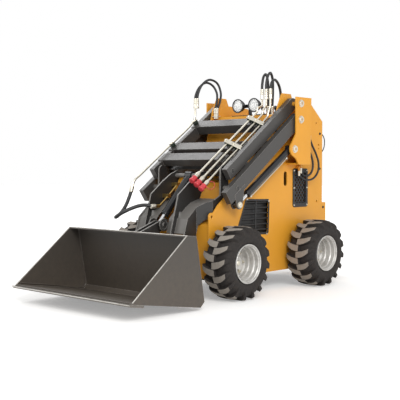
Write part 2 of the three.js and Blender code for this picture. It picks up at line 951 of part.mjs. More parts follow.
// One line: straight along the upper frame from its coupler, and up to its hose fitting.
function hardLine(x, above, front) {
  const points = [
    [x, ...onUpper(front + 10, above)],
    [x, ...onUpper(600, above)],
    [x, ...onUpper(230, above)],
    [x, ...onUpper(196, above + 6)],
    [x, 622, 1415],
    [x, 620, fittingZ - 20],
  ];
  return bent(points, lineRadius, 6, 18);
}

// A clamp block across the arm, 36 mm long along it.
function lineClamp(at, x0, x1, low, high) {
  const half = 18;
  const outline = [
    onUpper(at + half, low),
    onUpper(at - half, low),
    onUpper(at - half, high),
    onUpper(at + half, high),
  ];
  return plate(outline, x0, x1);
}

// Three lines held by two stepped clamps, with flat-faced couplers and dust caps at the front.
function leftLines() {
  const lines = lineX.map((x, i) => hardLine(x, lineAbove[i], lineFronts[i]));
  const couplers = lineX.map((x, i) => {
    const from = onUpper(lineFronts[i], lineAbove[i]);
    const to = onUpper(lineFronts[i] + 100, lineAbove[i]);
    return join(strut(16, x, from, to, 12), strut(21, x, between(from, to, 52), to, 12));
  });
  const fittings = lineX.map((x) => strut(12, x, [620, fittingZ - 34], [620, fittingZ], 6));
  const beds = [upperCross.above, ...lineSteps.map(({ above }) => above)];
  const clamps = clampAt.flatMap((at) =>
    lineX.map((x, i) => lineClamp(at, x - 20, x + 20.5, beds[i] + touch, lineAbove[i] + 13)),
  );
  return join(...lines, ...couplers, ...fittings, ...clamps);
}

// The tilt line along the right bar: an elbow at the front, and two fittings side by side at the rear.
const rightLineX = -(upperBarOut - 8);
const rightRise = upperCross.above + touch + lineRadius + 13;
const rightFitting = { y: 487, z: 1416, pitch: 24 };
const neckFitting = { from: [-190, 797], to: [-198, 768] };

function rightLine() {
  const x = rightLineX;
  const { y, z, pitch } = rightFitting;
  const line = bent(
    [
      [x, ...neckFitting.to],
      [x, ...neckFitting.from],
      [x, ...onUpper(1100, rightRise)],
      [x, ...onUpper(1040, rightRise)],
      [x, ...onUpper(700, rightRise)],
      [x, ...onUpper(345, rightRise)],
      [x, 472, 1276],
      [x, y, 1330],
      [x, y, z - 26],
    ],
    lineRadius,
    6,
    22,
  );
  const [low, high] = [upperCross.above + touch, upperCross.above + touch + lineRadius + 16];
  const clamps = clampAt.map((at) => lineClamp(at, x - 8, x + 26, low, high));
  const elbow = strut(13, x, neckFitting.from, neckFitting.to, 6);
  const yoke = block(x - 11, x + pitch + 11, y - 11, y + 11, z - 40, z - 24);
  const fittings = [x, x + pitch].map((at) => uprightHex(at, y, z - 42, z));
  return join(line, ...clamps, elbow, yoke, ...fittings);
}

// Flexible hoses: each is a list of chosen points.
const hoseRadius = 10;
const hoses = {
  boom_hose_inner: [
    [196, 620, fittingZ + touch], [196, 620, 1480], [195, 622, 1530], [188, 648, 1600], [178, 690, 1622],
    [166, 728, 1580], [156, 748, 1480], [150, 752, 1380], [150, 752, deckTop + 32],
  ],
  boom_hose_middle: [
    [236, 620, fittingZ + touch], [236, 620, 1480], [235, 621, 1536], [230, 650, 1608], [220, 694, 1630],
    [209, 734, 1586], [198, 752, 1484], [190, 756, 1380], [190, 756, deckTop + 32],
  ],
  boom_hose_outer: [
    [276, 620, fittingZ + touch], [276, 620, 1480], [276, 622, 1515], [274, 642, 1556], [269, 680, 1574],
    [263, 726, 1556], [257, 764, 1510], [253, 779, 1450], [251, 765, 1396], [250, 756, 1364],
    [250, 756, deckTop + 32],
  ],
};
const farHoses = {
  far_hose_front: [
    [-373, 487, rightFitting.z + touch], [-373, 487, 1432], [-371, 490, 1480], [-362, 526, 1548],
    [-350, 592, 1588], [-330, 650, 1566], [-309, 676, 1504], [-304, 668, 1430], [-303, 653, 1382],
    [-305, 650, 1358], [-305, 650, 1344],
  ],
  far_hose_rear: [
    [-349, 487, rightFitting.z + touch], [-349, 487, 1432], [-348, 492, 1486], [-342, 534, 1566],
    [-332, 612, 1612], [-318, 690, 1588], [-302, 716, 1510], [-289, 688, 1432], [-282, 654, 1382],
    [-281, 646, 1358], [-281, 646, 1344],
  ],
};
const farHoseRadius = 9;

function hose(points, radius = hoseRadius) {
  return bent(points, radius, 8, 16);
}

// Bulkhead fittings on the hood's rear edge, one under each hose.
function hoseEnds(routes) {
  return Object.values(routes).map((points) => points[points.length - 1]);
}

function bulkhead() {
  const foot = deckTop + touch;
  const ends = hoseEnds(hoses);
  const base = block(ends[0][0] - 24, ends[2][0] + 24, 735, 774, foot, foot + 6);
  return join(base, ...ends.map(([x, y, z]) => uprightHex(x, y, foot + 3, z - touch)));
}

// A shelf on the right side plate's inner face with a fitting under each far hose.
function farBulkhead() {
  const shelf = block(-panelX, -262, 630, 666, 1316, 1322);
  return join(shelf, ...hoseEnds(farHoses).map(([x, y, z]) => uprightHex(x, y, 1300, z - touch)));
}

// A thick sleeved hose from the right line's elbow, round in front of the gooseneck, to the tilt port.
const neckHoseRadius = 13;
const neckHose = [
  [-373, -198.1, 767.7], [-373.5, -203, 750], [-375, -214, 716], [-374, -236, 672], [-369, -266, 630],
  [-360, -306, 594], [-344, -358, 566], [-316, -410, 555], [-276, -436, 564], [-238, -424, 588],
  [-207, -386, 612], [-180, -348, 630], [-156, -320, 640], [-134, -298, 643], [-114, -277, 640],
  [-100, -258, 636], [-95, -246, 634], [-95, -233, 634],
];
const tiltPortEnd = neckHose[neckHose.length - 1];

// Fitting, tube and saddles that take the tilt oil up the right inner neck plate.
function tiltPort() {
  const [x, y, z] = tiltPortEnd;
  const tube = bent(
    [
      [x + 1, y + 3, z - 1],
      [x + 5, y + 30, z - 1],
      [-86, -172, 656],
      [-82, -100, 716],
      [-82, -20, 784],
      [-82, 0, 801],
    ],
    7,
    6,
    12,
  );
  const hex = strut(13, x + 3, [y + touch, z - 0.5], [y + 36, z - 0.5], 6);
  const plateFace = -neckInnerX + neckSheet / 2 + touch;
  const saddles = [
    [-112, 706],
    [-18, 786],
  ].map(([at, up]) => block(plateFace, -72, at - 14, at + 14, up - 14, up + 14));
  return join(tube, hex, ...saddles);
}

// Two hoses that loop behind the left tower, and a thin cable that loops behind the rear panel.
const towerHoseRadius = 8;
const towerHoses = {
  tower_hose_front: [
    [350, 1002, 1110], [350, 1002, 1096], [356, 1014, 1045], [364, 1038, 992], [367, 1052, 940],
    [366, 1044, 886], [362, 1010, 852], [357, 963, 843], [352, 925, 860], [350, 911, 890], [350, 911, 904],
  ],
  tower_hose_rear: [
    [350, 1030, 1160], [350, 1030, 1146], [362, 1048, 1084], [380, 1078, 1012], [390, 1096, 945],
    [391, 1088, 880], [388, 1050, 836], [383, 1005, 816], [374, 955, 812], [362, 915, 824], [352, 891, 850],
    [350, 886, 872], [350, 886, 884],
  ],
};
const cableRadius = 4;
const rearCable = [
  [300, backY + 9 + touch, 1184], [300, 1262, 1183], [300, 1290, 1168], [301, 1309, 1138], [301, 1312, 1108],
  [301, 1304, 1072], [300, 1282, 1042], [300, 1260, 1031], [300, backY + 9 + touch, 1030],
];


function uprightHex(x, y, z0, z1) {
  const hex = new THREE.CylinderGeometry(12, 12, z1 - z0, 6);
  hex.rotateX(Math.PI / 2);
  hex.translate(x, y, (z0 + z1) / 2);
  return solid(hex);
}

// Fittings on the left side plate, one in line with each end of the tower hoses.
function towerFittings() {
  return Object.values(towerHoses).flatMap((points) =>
    [
      [points[0], points[1]],
      [points[points.length - 1], points[points.length - 2]],
    ].map(([[x, y, z], [, yIn, zIn]]) => {
      const seat = between([y, z], [yIn, zIn], -touch);
      const back = between([y, z], [yIn, zIn], -26);
      return join(strut(10, x, seat, back, 6), roundBar(10, innerX + 1, x + 4, ...back, 12));
    }),
  );
}

// ---- hitch and bucket --------------------------------------------------------------------------------

const hitchSheet = 12;
const earSheet = 14;

// Points on the bucket's back, from the heel bend up to the rear top corner.
function onBack(share, behind) {
  const [y0, z0] = bucketRear;
  const [y1, z1] = bucketTopRear;
  const length = Math.hypot(y1 - y0, z1 - z0);
  const n = [(z1 - z0) / length, -(y1 - y0) / length];
  return [y0 + (y1 - y0) * share + n[0] * behind, z0 + (z1 - z0) * share + n[1] * behind];
}

// Hitch plate on the bucket's back with ears for the two pivot pins and for the tilt cylinder's rod.
function hitchPlate() {
  const faceOutline = [
    onBack(0.06, hitchSheet),
    onBack(0.97, hitchSheet),
    onBack(0.97, touch),
    onBack(0.06, touch),
  ];
  const face = plate(faceOutline, -290, 290);
  const pivotEar = [onBack(0.06, 2), ...arc(hitchPivotY, hitchPivotZ, 40, -100, 80, 8), onBack(0.55, 2)];
  const pivotEars = sides.flatMap(([, side]) =>
    [neckHitchX + neckSheet / 2 + 7, neckHitchX - neckSheet / 2 - 7 - earSheet].map((x) =>
      cut(
        mirrored(plate(pivotEar, x, x + earSheet), side),
        roundBar(armPinRadius + running, -400, 400, hitchPivotY, hitchPivotZ),
      ),
    ),
  );
  const tiltEar = [onBack(0.55, 2), ...arc(tiltEyeY, tiltEyeZ, 30, -70, 110, 8), onBack(0.96, 2)];
  const tiltEarX = tiltRodRadius + rodGap;
  const tiltEars = sides.map(([, side]) => mirrored(plate(tiltEar, tiltEarX, tiltEarX + earSheet), side));
  return join(face, ...pivotEars, ...tiltEars);
}

// Bucket shell: a bent skin from the cutting edge round the heel and up the back, and two cheeks.
function bucketShell() {
  const inner = bucketHalf - bucketSheet;
  const line = [bucketTopFront, bucketTopRear, bucketRear, bucketHeel, bucketLip];
  const skin = sheet(line, -bucketSheet, -inner - 1, inner + 1);
  const cheek = [bucketLip, bucketHeel, bucketRear, bucketTopRear, bucketTopFront];
  const cheeks = sides.map(([, side]) => mirrored(plate(cheek, inner, bucketHalf), side));
  return join(skin, ...cheeks);
}

// Thick edge plate under the front of the bucket floor, a little wider than the cheeks.
function cuttingEdge() {
  const length = Math.hypot(bucketHeel[0] - bucketLip[0], bucketHeel[1] - bucketLip[1]);
  const u = [(bucketHeel[0] - bucketLip[0]) / length, (bucketHeel[1] - bucketLip[1]) / length];
  const at = (along, down) => [
    bucketLip[0] + u[0] * along + u[1] * down,
    bucketLip[1] + u[1] * along - u[0] * down,
  ];
  const half = bucketHalf - touch;
  return plate(
    [at(-24, touch), at(-10, touch + edgeSheet), at(edgeDepth, touch + edgeSheet), at(edgeDepth, touch)],
    -half,
    half,
  );
}

// ---- platform ------------------------------------------------------------------------------------------

// Tread plate with turned-down edges, folding up on two pinned knuckles.
function platform() {
  const half = platformWidth / 2;
  const z = platformZ;
  const y0 = platformY;
  const y1 = y0 + platformDepth;
  const tread = block(-half, half, y0, y1, z - platformSheet, z);
  const lip = platformSheet;
  const lips = join(
    block(-half, -half + lip, y0, y1, z - 36, z),
    block(half - lip, half, y0, y1, z - 36, z),
    block(-half, half, y1 - lip, y1, z - 40, z),
  );
  const knuckles = knuckleX.map((x) =>
    join(
      roundBar(knuckleRadius, x - knuckleHalf, x + knuckleHalf, platformHingeY, platformHingeZ),
      roundBar(hingePinRadius, x - knuckleHalf - 10, x + knuckleHalf + 10, platformHingeY, platformHingeZ),
      block(x - knuckleHalf, x + knuckleHalf, platformHingeY, y0 + 6, platformHingeZ - 3, z - 1),
    ),
  );
  return join(tread, lips, ...knuckles);
}

// ---- assembly ----------------------------------------------------------------------------------

for (const [name, side] of sides) {
  const sidePlateBody = side > 0 ? join(sidePlate(), ...towerFittings()) : mirrored(sidePlate(), side);
  piece(`side_plate_${name}`, sidePlateBody, "yellow");
  piece(`side_louvre_${name}`, mirrored(sideLouvre(), side), "black");
  piece(`side_screen_${name}`, mirrored(sideScreen(), side), "black");
  piece(`tower_${name}`, mirrored(tower(), side), "yellow");
}
piece("floor_plate", floorPlate(), "black");
piece("front_hood", hood(), "yellow");
piece("hood_grille", hoodGrille(), "black");
piece("top_deck", topDeck(), "yellow");
piece("rear_panel", rearPanel(), "yellow");
piece("engine_block", engineBlock(), "black");
piece("console", consoleBox(), "black");
piece("control_levers", controlLevers(), "black");
piece("grab_rail", grabRail(), "black");
piece("work_lamps", lampPair(), "black");

for (const [name, side] of sides) {
  for (const [end, y] of [["front", 0], ["rear", wheelbase]]) {
    piece(`wheel_motor_${end}_${name}`, mirrored(wheelMotor(y), side), "black");
    piece(`rim_${end}_${name}`, mirrored(rim(y), side), "silver");
    piece(`tyre_${end}_${name}`, mirrored(tyre(y), side), "rubber");
  }
}

piece("lower_arm", lowerArm(), "charcoal");
piece("upper_arm", upperArm(), "charcoal");
piece("gooseneck", gooseneck(), "charcoal");

for (const [name, side] of sides) {
  const liftBarrel = barrel(liftX, liftBase, liftEye, 610, liftBarrelRadius, liftBore, liftRodRadius, 50);
  const liftRod = rod(liftX, liftBase, liftEye, 90, liftRodRadius, liftBore, eyeWidth);
  piece(`lift_barrel_${name}`, mirrored(liftBarrel, side), "charcoal");
  piece(`lift_rod_${name}`, mirrored(liftRod, side), "rod");
}
const tiltBarrel = barrel(0, tiltBase, tiltEye, 378, tiltBarrelRadius, tiltBore, tiltRodRadius, 60);
piece("tilt_barrel", tiltBarrel, "charcoal");
piece("tilt_rod", rod(0, tiltBase, tiltEye, 106, tiltRodRadius, tiltBore, eyeWidth), "rod");

piece("hitch_plate", hitchPlate(), "charcoal");
piece("bucket_shell", bucketShell(), "bucketPaint");
piece("cutting_edge", cuttingEdge(), "edgeSteel");
piece("step_platform", platform(), "tread");

piece("hard_lines_left", leftLines(), "zinc");
piece("hard_line_right", rightLine(), "zinc");
piece("bulkhead_fittings", bulkhead(), "zinc");
piece("far_bulkhead", farBulkhead(), "zinc");
piece("tilt_port", tiltPort(), "zinc");
for (const [name, points] of Object.entries(hoses)) piece(name, hose(points), "hose");
for (const [name, points] of Object.entries(farHoses)) piece(name, hose(points, farHoseRadius), "hose");
for (const [name, points] of Object.entries(towerHoses)) piece(name, hose(points, towerHoseRadius), "hose");
piece("neck_hose", bent(neckHose, neckHoseRadius, 10, 30), "hose");
piece("rear_cable", hose(rearCable, cableRadius), "hose");

// The frame's origin is on the ground, under the middle of the machine's length.
const lengthMiddle = (bucketLip[0] - 24 + platformY + platformDepth) / 2;
for (const child of machine.children) child.position.y -= lengthMiddle;

export default machine;
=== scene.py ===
import math

import bmesh
import bpy
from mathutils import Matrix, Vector


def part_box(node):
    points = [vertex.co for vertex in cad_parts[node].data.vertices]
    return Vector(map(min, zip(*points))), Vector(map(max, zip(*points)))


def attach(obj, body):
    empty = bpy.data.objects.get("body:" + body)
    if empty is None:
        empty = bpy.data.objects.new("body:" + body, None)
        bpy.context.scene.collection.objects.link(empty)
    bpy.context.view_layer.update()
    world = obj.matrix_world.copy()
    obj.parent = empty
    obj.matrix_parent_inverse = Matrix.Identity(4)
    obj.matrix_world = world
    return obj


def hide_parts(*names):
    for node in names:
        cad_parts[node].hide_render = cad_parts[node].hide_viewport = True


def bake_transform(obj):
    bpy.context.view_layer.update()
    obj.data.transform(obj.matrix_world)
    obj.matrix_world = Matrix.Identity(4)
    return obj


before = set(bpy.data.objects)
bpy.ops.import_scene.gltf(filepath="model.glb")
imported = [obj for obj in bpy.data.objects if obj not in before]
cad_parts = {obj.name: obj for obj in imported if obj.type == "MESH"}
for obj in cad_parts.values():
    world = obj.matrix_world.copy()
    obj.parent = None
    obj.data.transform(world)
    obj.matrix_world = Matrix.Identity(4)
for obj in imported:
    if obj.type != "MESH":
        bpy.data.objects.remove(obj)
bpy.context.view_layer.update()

# ---- the view -------------------------------------------------------------------------------
# A plain studio: a pale floor under a white surround, one large soft key lamp on the machine's left
# front, a weak fill and a back lamp on the other side, and the camera low at the left front corner.

scene = bpy.context.scene
scene.view_settings.view_transform = "Standard"
left_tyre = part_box("tyre_front_left")
AXLE_Y = (left_tyre[0].y + left_tyre[1].y) / 2


def place(x, y, z):
    """A point given in millimetres from the ground under the front axle, in the frame's metres."""
    return Vector((x / 1000, y / 1000 + AXLE_Y, z / 1000))


camera = bpy.data.objects.new("camera", bpy.data.cameras.new("camera"))
camera.location = place(4023.6, -4278.1, 905.4)
camera.rotation_euler = (math.radians(87.743), 0, math.radians(42.357))
camera.data.lens = 73.1
scene.collection.objects.link(camera)
scene.camera = camera


def linear(hex_colour):
    """An sRGB hex colour as linear red, green, blue and alpha."""
    parts = [int(hex_colour[i:i + 2], 16) / 255 for i in (1, 3, 5)]
    return tuple(c / 12.92 if c <= 0.04045 else ((c + 0.055) / 1.055) ** 2.4 for c in parts) + (1.0,)


def add_node(tree, kind, links=None, **settings):
    """A node with its settings, and its inputs set to values or linked to other nodes' outputs."""
    made = tree.nodes.new(kind)
    for name, value in settings.items():
        setattr(made, name, value)
    for socket, value in (links or {}).items():
        if isinstance(value, bpy.types.NodeSocket):
            tree.links.new(value, made.inputs[socket])
        else:
            made.inputs[socket].default_value = value
    return made


def new_finish(name):
    """A new material with its node tree and its shader."""
    made = bpy.data.materials.new(name)
    made.use_nodes = True
    return made, made.node_tree, made.node_tree.nodes["Principled BSDF"]


def soft_lamp(name, where, target, size, power):
    """A square area lamp that faces a target."""
    data = bpy.data.lights.new(name, "AREA")
    data.size = size
    data.energy = power
    lamp = bpy.data.objects.new(name, data)
    lamp.location = where
    lamp.rotation_euler = (Vector(target) - Vector(where)).to_track_quat("-Z", "Y").to_euler()
    scene.collection.objects.link(lamp)


soft_lamp("key_lamp", (5.2, -3.8, 4.2), (0, 0, 0.6), 3.2, 322)
soft_lamp("fill_lamp", (-3.6, -4.4, 2.4), (0, 0, 0.7), 3.0, 36)
soft_lamp("rim_lamp", (-3.4, 1.6, 4.4), (0, 0, 0.9), 2.6, 55)

world = bpy.data.worlds.new("white_surround")
scene.world = world
world.use_nodes = True
tree = world.node_tree
tree.nodes.clear()
ray = add_node(tree, "ShaderNodeLightPath")
clear = add_node(tree, "ShaderNodeMath", {0: ray.outputs["Is Camera Ray"],
    1: ray.outputs["Is Transmission Ray"]}, operation="MAXIMUM")
seen = add_node(tree, "ShaderNodeMath", {0: clear.outputs[0], 1: ray.outputs["Is Glossy Ray"]},
    operation="MAXIMUM")
level = add_node(tree, "ShaderNodeMapRange", {"Value": seen.outputs[0], "To Min": 0.55, "To Max": 1.0})
surround = add_node(tree, "ShaderNodeBackground", {"Color": (1, 1, 1, 1), "Strength": level.outputs[0]})
add_node(tree, "ShaderNodeOutputWorld", {"Surface": surround.outputs[0]})

floor_mesh = bpy.data.meshes.new("floor")
floor_mesh.from_pydata([(-30, -30, 0), (30, -30, 0), (30, 30, 0), (-30, 30, 0)], [], [(0, 1, 2, 3)])
floor = bpy.data.objects.new("floor", floor_mesh)
scene.collection.objects.link(floor)
studio_floor, tree, shader = new_finish("painted_studio_floor")
spot = add_node(tree, "ShaderNodeVectorMath", {0: add_node(tree, "ShaderNodeTexCoord").outputs["Object"]},
    operation="LENGTH")
lift = add_node(tree, "ShaderNodeMapRange", {"Value": spot.outputs["Value"], "From Min": 1.2,
    "From Max": 4.5, "To Min": 0.3, "To Max": 0.75})
ray = add_node(tree, "ShaderNodeLightPath")
seen = add_node(tree, "ShaderNodeMath", {0: ray.outputs["Is Camera Ray"], 1: ray.outputs["Is Glossy Ray"]},
    operation="MAXIMUM")
glow = add_node(tree, "ShaderNodeMath", {0: lift.outputs[0], 1: seen.outputs[0]}, operation="MULTIPLY")
shader.inputs["Emission Color"].default_value = (1, 1, 1, 1)
tree.links.new(glow.outputs[0], shader.inputs["Emission Strength"])
shader.inputs["Base Color"].default_value = linear("#F6F5F3")
shader.inputs["Roughness"].default_value = 0.6
shader.inputs["Specular IOR Level"].default_value = 0.2
floor_mesh.materials.append(studio_floor)

# ---- hydraulic hoses ------------------------------------------------------------------------
# Black rubber hoses with a smooth cover, wire braided inside, 16 to 26 mm outside. Each one is
# crimped in a zinc plated ferrule at both ends, and keeps the route that it was fitted with.


def hose_rubber(name, colour, wrap_pitch):
    """Extruded hose cover: matt black, with the faint spiral that the cloth wrap leaves in it."""
    material, tree, shader = new_finish(name)
    shader.inputs["Base Color"].default_value = linear(colour)
    along = add_node(tree, "ShaderNodeUVMap", uv_map="along")
    split = add_node(tree, "ShaderNodeSeparateXYZ", {0: along.outputs[0]})
    turns = add_node(tree, "ShaderNodeMath", {0: split.outputs[0], 1: 1 / wrap_pitch, 2: split.outputs[1]},
        operation="MULTIPLY_ADD")
    wave = add_node(tree, "ShaderNodeMath", {0: turns.outputs[0], 1: 0.5}, operation="PINGPONG")
    where = add_node(tree, "ShaderNodeTexCoord")
    dust = add_node(tree, "ShaderNodeTexNoise", {"Vector": where.outputs["Object"], "Scale": 18.0,
        "Detail": 4.0})
    gloss = add_node(tree, "ShaderNodeMapRange", {"Value": dust.outputs[0], "To Min": 0.38, "To Max": 0.62})
    relief = add_node(tree, "ShaderNodeBump", {"Height": wave.outputs[0], "Strength": 0.35,
        "Distance": 0.0015})
    tree.links.new(gloss.outputs[0], shader.inputs["Roughness"])
    tree.links.new(relief.outputs[0], shader.inputs["Normal"])
    return material


def smooth_route(points, steps):
    """A centripetal Catmull-Rom line through chosen points, with so many steps between each two."""
    ends = [points[0] * 2 - points[1], *points, points[-1] * 2 - points[-2]]
    route = []
    for p0, p1, p2, p3 in zip(ends, ends[1:], ends[2:], ends[3:]):
        d0, d1, d2 = ((b - a).length ** 0.5 for a, b in ((p0, p1), (p1, p2), (p2, p3)))
        t1 = ((p1 - p0) / d0 - (p2 - p0) / (d0 + d1) + (p2 - p1) / d1) * d1
        t2 = ((p2 - p1) / d1 - (p3 - p1) / (d1 + d2) + (p3 - p2) / d2) * d1
        for i in range(steps):
            t = i / steps
            square = -3 * p1 + 3 * p2 - 2 * t1 - t2
            cube = 2 * p1 - 2 * p2 + t1 + t2
            route.append(p1 + t1 * t + square * t ** 2 + cube * t ** 3)
    return [*route, points[-1]]


def finished(name, data, material, sharp=35):
    """An object of a mesh, with outward faces, smooth apart from edges sharper than the angle."""
    shape = bmesh.new()
    shape.from_mesh(data)
    bmesh.ops.recalc_face_normals(shape, faces=shape.faces)
    for face in shape.faces:
        face.smooth = True
    for edge in shape.edges:
        if len(edge.link_faces) == 2:
            edge.smooth = edge.calc_face_angle(0) < math.radians(sharp)
    shape.to_mesh(data)
    shape.free()
    data.materials.append(material)
    made = bpy.data.objects.new(name, data)
    scene.collection.objects.link(made)
    return made


def plain_mesh(name, verts, faces):
    """A mesh of corners and faces."""
    data = bpy.data.meshes.new(name)
    data.from_pydata(verts, [], faces)
    return data


def tube(name, route, radius, material, sides=16):
    """A closed round tube along a route, with a map of metres along it and turns round it."""
    tangents = [(b - a).normalized() for a, b in zip([route[0], *route], [*route[1:], route[-1]])]
    tangents[0] = (route[1] - route[0]).normalized()
    side = tangents[0].orthogonal().normalized()
    verts, faces, uvs, run = [], [], [], 0.0
    for i, (point, way) in enumerate(zip(route, tangents)):
        side = (side - way * side.dot(way)).normalized()
        up = way.cross(side)
        for k in range(sides):
            a = 2 * math.pi * k / sides
            verts.append(point + (side * math.cos(a) + up * math.sin(a)) * radius)
        if i:
            step = (point - route[i - 1]).length
            low = (i - 1) * sides
            for k in range(sides):
                n = (k + 1) % sides
                faces.append((low + k, low + n, low + sides + n, low + sides + k))
                u0, u1, v0, v1 = run, run + step, k / sides, (k + 1) / sides
                uvs.append(((u0, v0), (u0, v1), (u1, v1), (u1, v0)))
            run += step
    faces.append(tuple(reversed(range(sides))))
    uvs.append(((0, 0),) * sides)
    faces.append(tuple(range(len(verts) - sides, len(verts))))
    uvs.append(((run, 0),) * sides)
    data = plain_mesh(name, verts, faces)
    layer = data.uv_layers.new(name="along")
    for polygon, corners in zip(data.polygons, uvs):
        for loop, uv in zip(polygon.loop_indices, corners):
            layer.data[loop].uv = uv
    return finished(name, data, material, 50)


def free_hose(name, points, radius, material, bodies):
    """A free hose on its route: it replaces its solid, and rides on one body, or stays where it is when it
    runs between two.
    """
    route = smooth_route([place(*p) for p in points], 10)
    hose = tube(name + "_cover", route, radius / 1000, material)
    if len(bodies) == 1:
        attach(hose, bodies[0])
    else:
        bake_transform(hose)
    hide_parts(name)
    return hose


smooth_hose = hose_rubber("extruded_hose_rubber", "#1A1A1B", 0.012)
sleeved_hose = hose_rubber("nylon_wrapped_hose", "#232324", 0.009)
boom_hoses = {"boom_hose_inner": [(196, 620, 1462.3), (196, 620, 1480), (195, 622, 1530), (188, 648, 1600),
    (178, 690, 1622), (166, 728, 1580), (156, 748, 1480), (150, 752, 1380), (150, 752, 1344)],
    "boom_hose_middle": [(236, 620, 1462.3), (236, 620, 1480), (235, 621, 1536), (230, 650, 1608),
    (220, 694, 1630), (209, 734, 1586), (198, 752, 1484), (190, 756, 1380), (190, 756, 1344)],
    "boom_hose_outer": [(276, 620, 1462.3), (276, 620, 1480), (276, 622, 1515), (274, 642, 1556),
    (269, 680, 1574), (263, 726, 1556), (257, 764, 1510), (253, 779, 1450), (251, 765, 1396),
    (250, 756, 1364), (250, 756, 1344)], }
far_hoses = {"far_hose_front": [(-373, 487, 1416.3), (-373, 487, 1432), (-371, 490, 1480),
    (-362, 526, 1548), (-350, 592, 1588), (-330, 650, 1566), (-309, 676, 1504), (-304, 668, 1430),
    (-303, 653, 1382), (-305, 650, 1358), (-305, 650, 1344)], "far_hose_rear": [(-349, 487, 1416.3),
    (-349, 487, 1432), (-348, 492, 1486), (-342, 534, 1566), (-332, 612, 1612), (-318, 690, 1588),
    (-302, 716, 1510), (-289, 688, 1432), (-282, 654, 1382), (-281, 646, 1358), (-281, 646, 1344)], }
tower_hoses = {"tower_hose_front": [(350, 1002, 1110), (350, 1002, 1096), (356, 1014, 1045),
    (364, 1038, 992), (367, 1052, 940), (366, 1044, 886), (362, 1010, 852), (357, 963, 843),
    (352, 925, 860), (350, 911, 890), (350, 911, 904)], "tower_hose_rear": [(350, 1030, 1160),
    (350, 1030, 1146), (362, 1048, 1084), (380, 1078, 1012), (390, 1096, 945), (391, 1088, 880),
    (388, 1050, 836), (383, 1005, 816), (374, 955, 812), (362, 915, 824), (352, 891, 850), (350, 886, 872),
    (350, 886, 884)], }
neck_hose = [(-373, -198.1, 767.7), (-373.5, -203, 750), (-375, -214, 716), (-374, -236, 672),
    (-369, -266, 630), (-360, -306, 594), (-344, -358, 566), (-316, -410, 555), (-276, -436, 564),
    (-238, -424, 588), (-207, -386, 612), (-180, -348, 630), (-156, -320, 640), (-134, -298, 643),
    (-114, -277, 640), (-100, -258, 636), (-95, -246, 634), (-95, -233, 634)]
rear_cable = [(300, 1245.3, 1184), (300, 1262, 1183), (300, 1290, 1168), (301, 1309, 1138),
    (301, 1312, 1108), (301, 1304, 1072), (300, 1282, 1042), (300, 1260, 1031), (300, 1245.3, 1030)]
for name, points in boom_hoses.items():
    free_hose(name, points, 10, smooth_hose, ("upper_arm", "chassis", tuple(place(0, 628, 0)),
        tuple(place(0, 750, 0))))
for name, points in far_hoses.items():
    across = (place(points[0][0], 0, 0), place(points[-1][0], 0, 0))
    free_hose(name, points, 9, smooth_hose, ("upper_arm", "chassis", tuple(across[0]), tuple(across[1])))
for name, points in tower_hoses.items():
    free_hose(name, points, 8, smooth_hose, ("chassis",))
free_hose("neck_hose", neck_hose, 13, sleeved_hose, ("upper_arm", "tilt_port", tuple(place(-368, 0, 0)),
    tuple(place(-100, 0, 0))))
free_hose("rear_cable", rear_cable, 4, smooth_hose, ("chassis",))
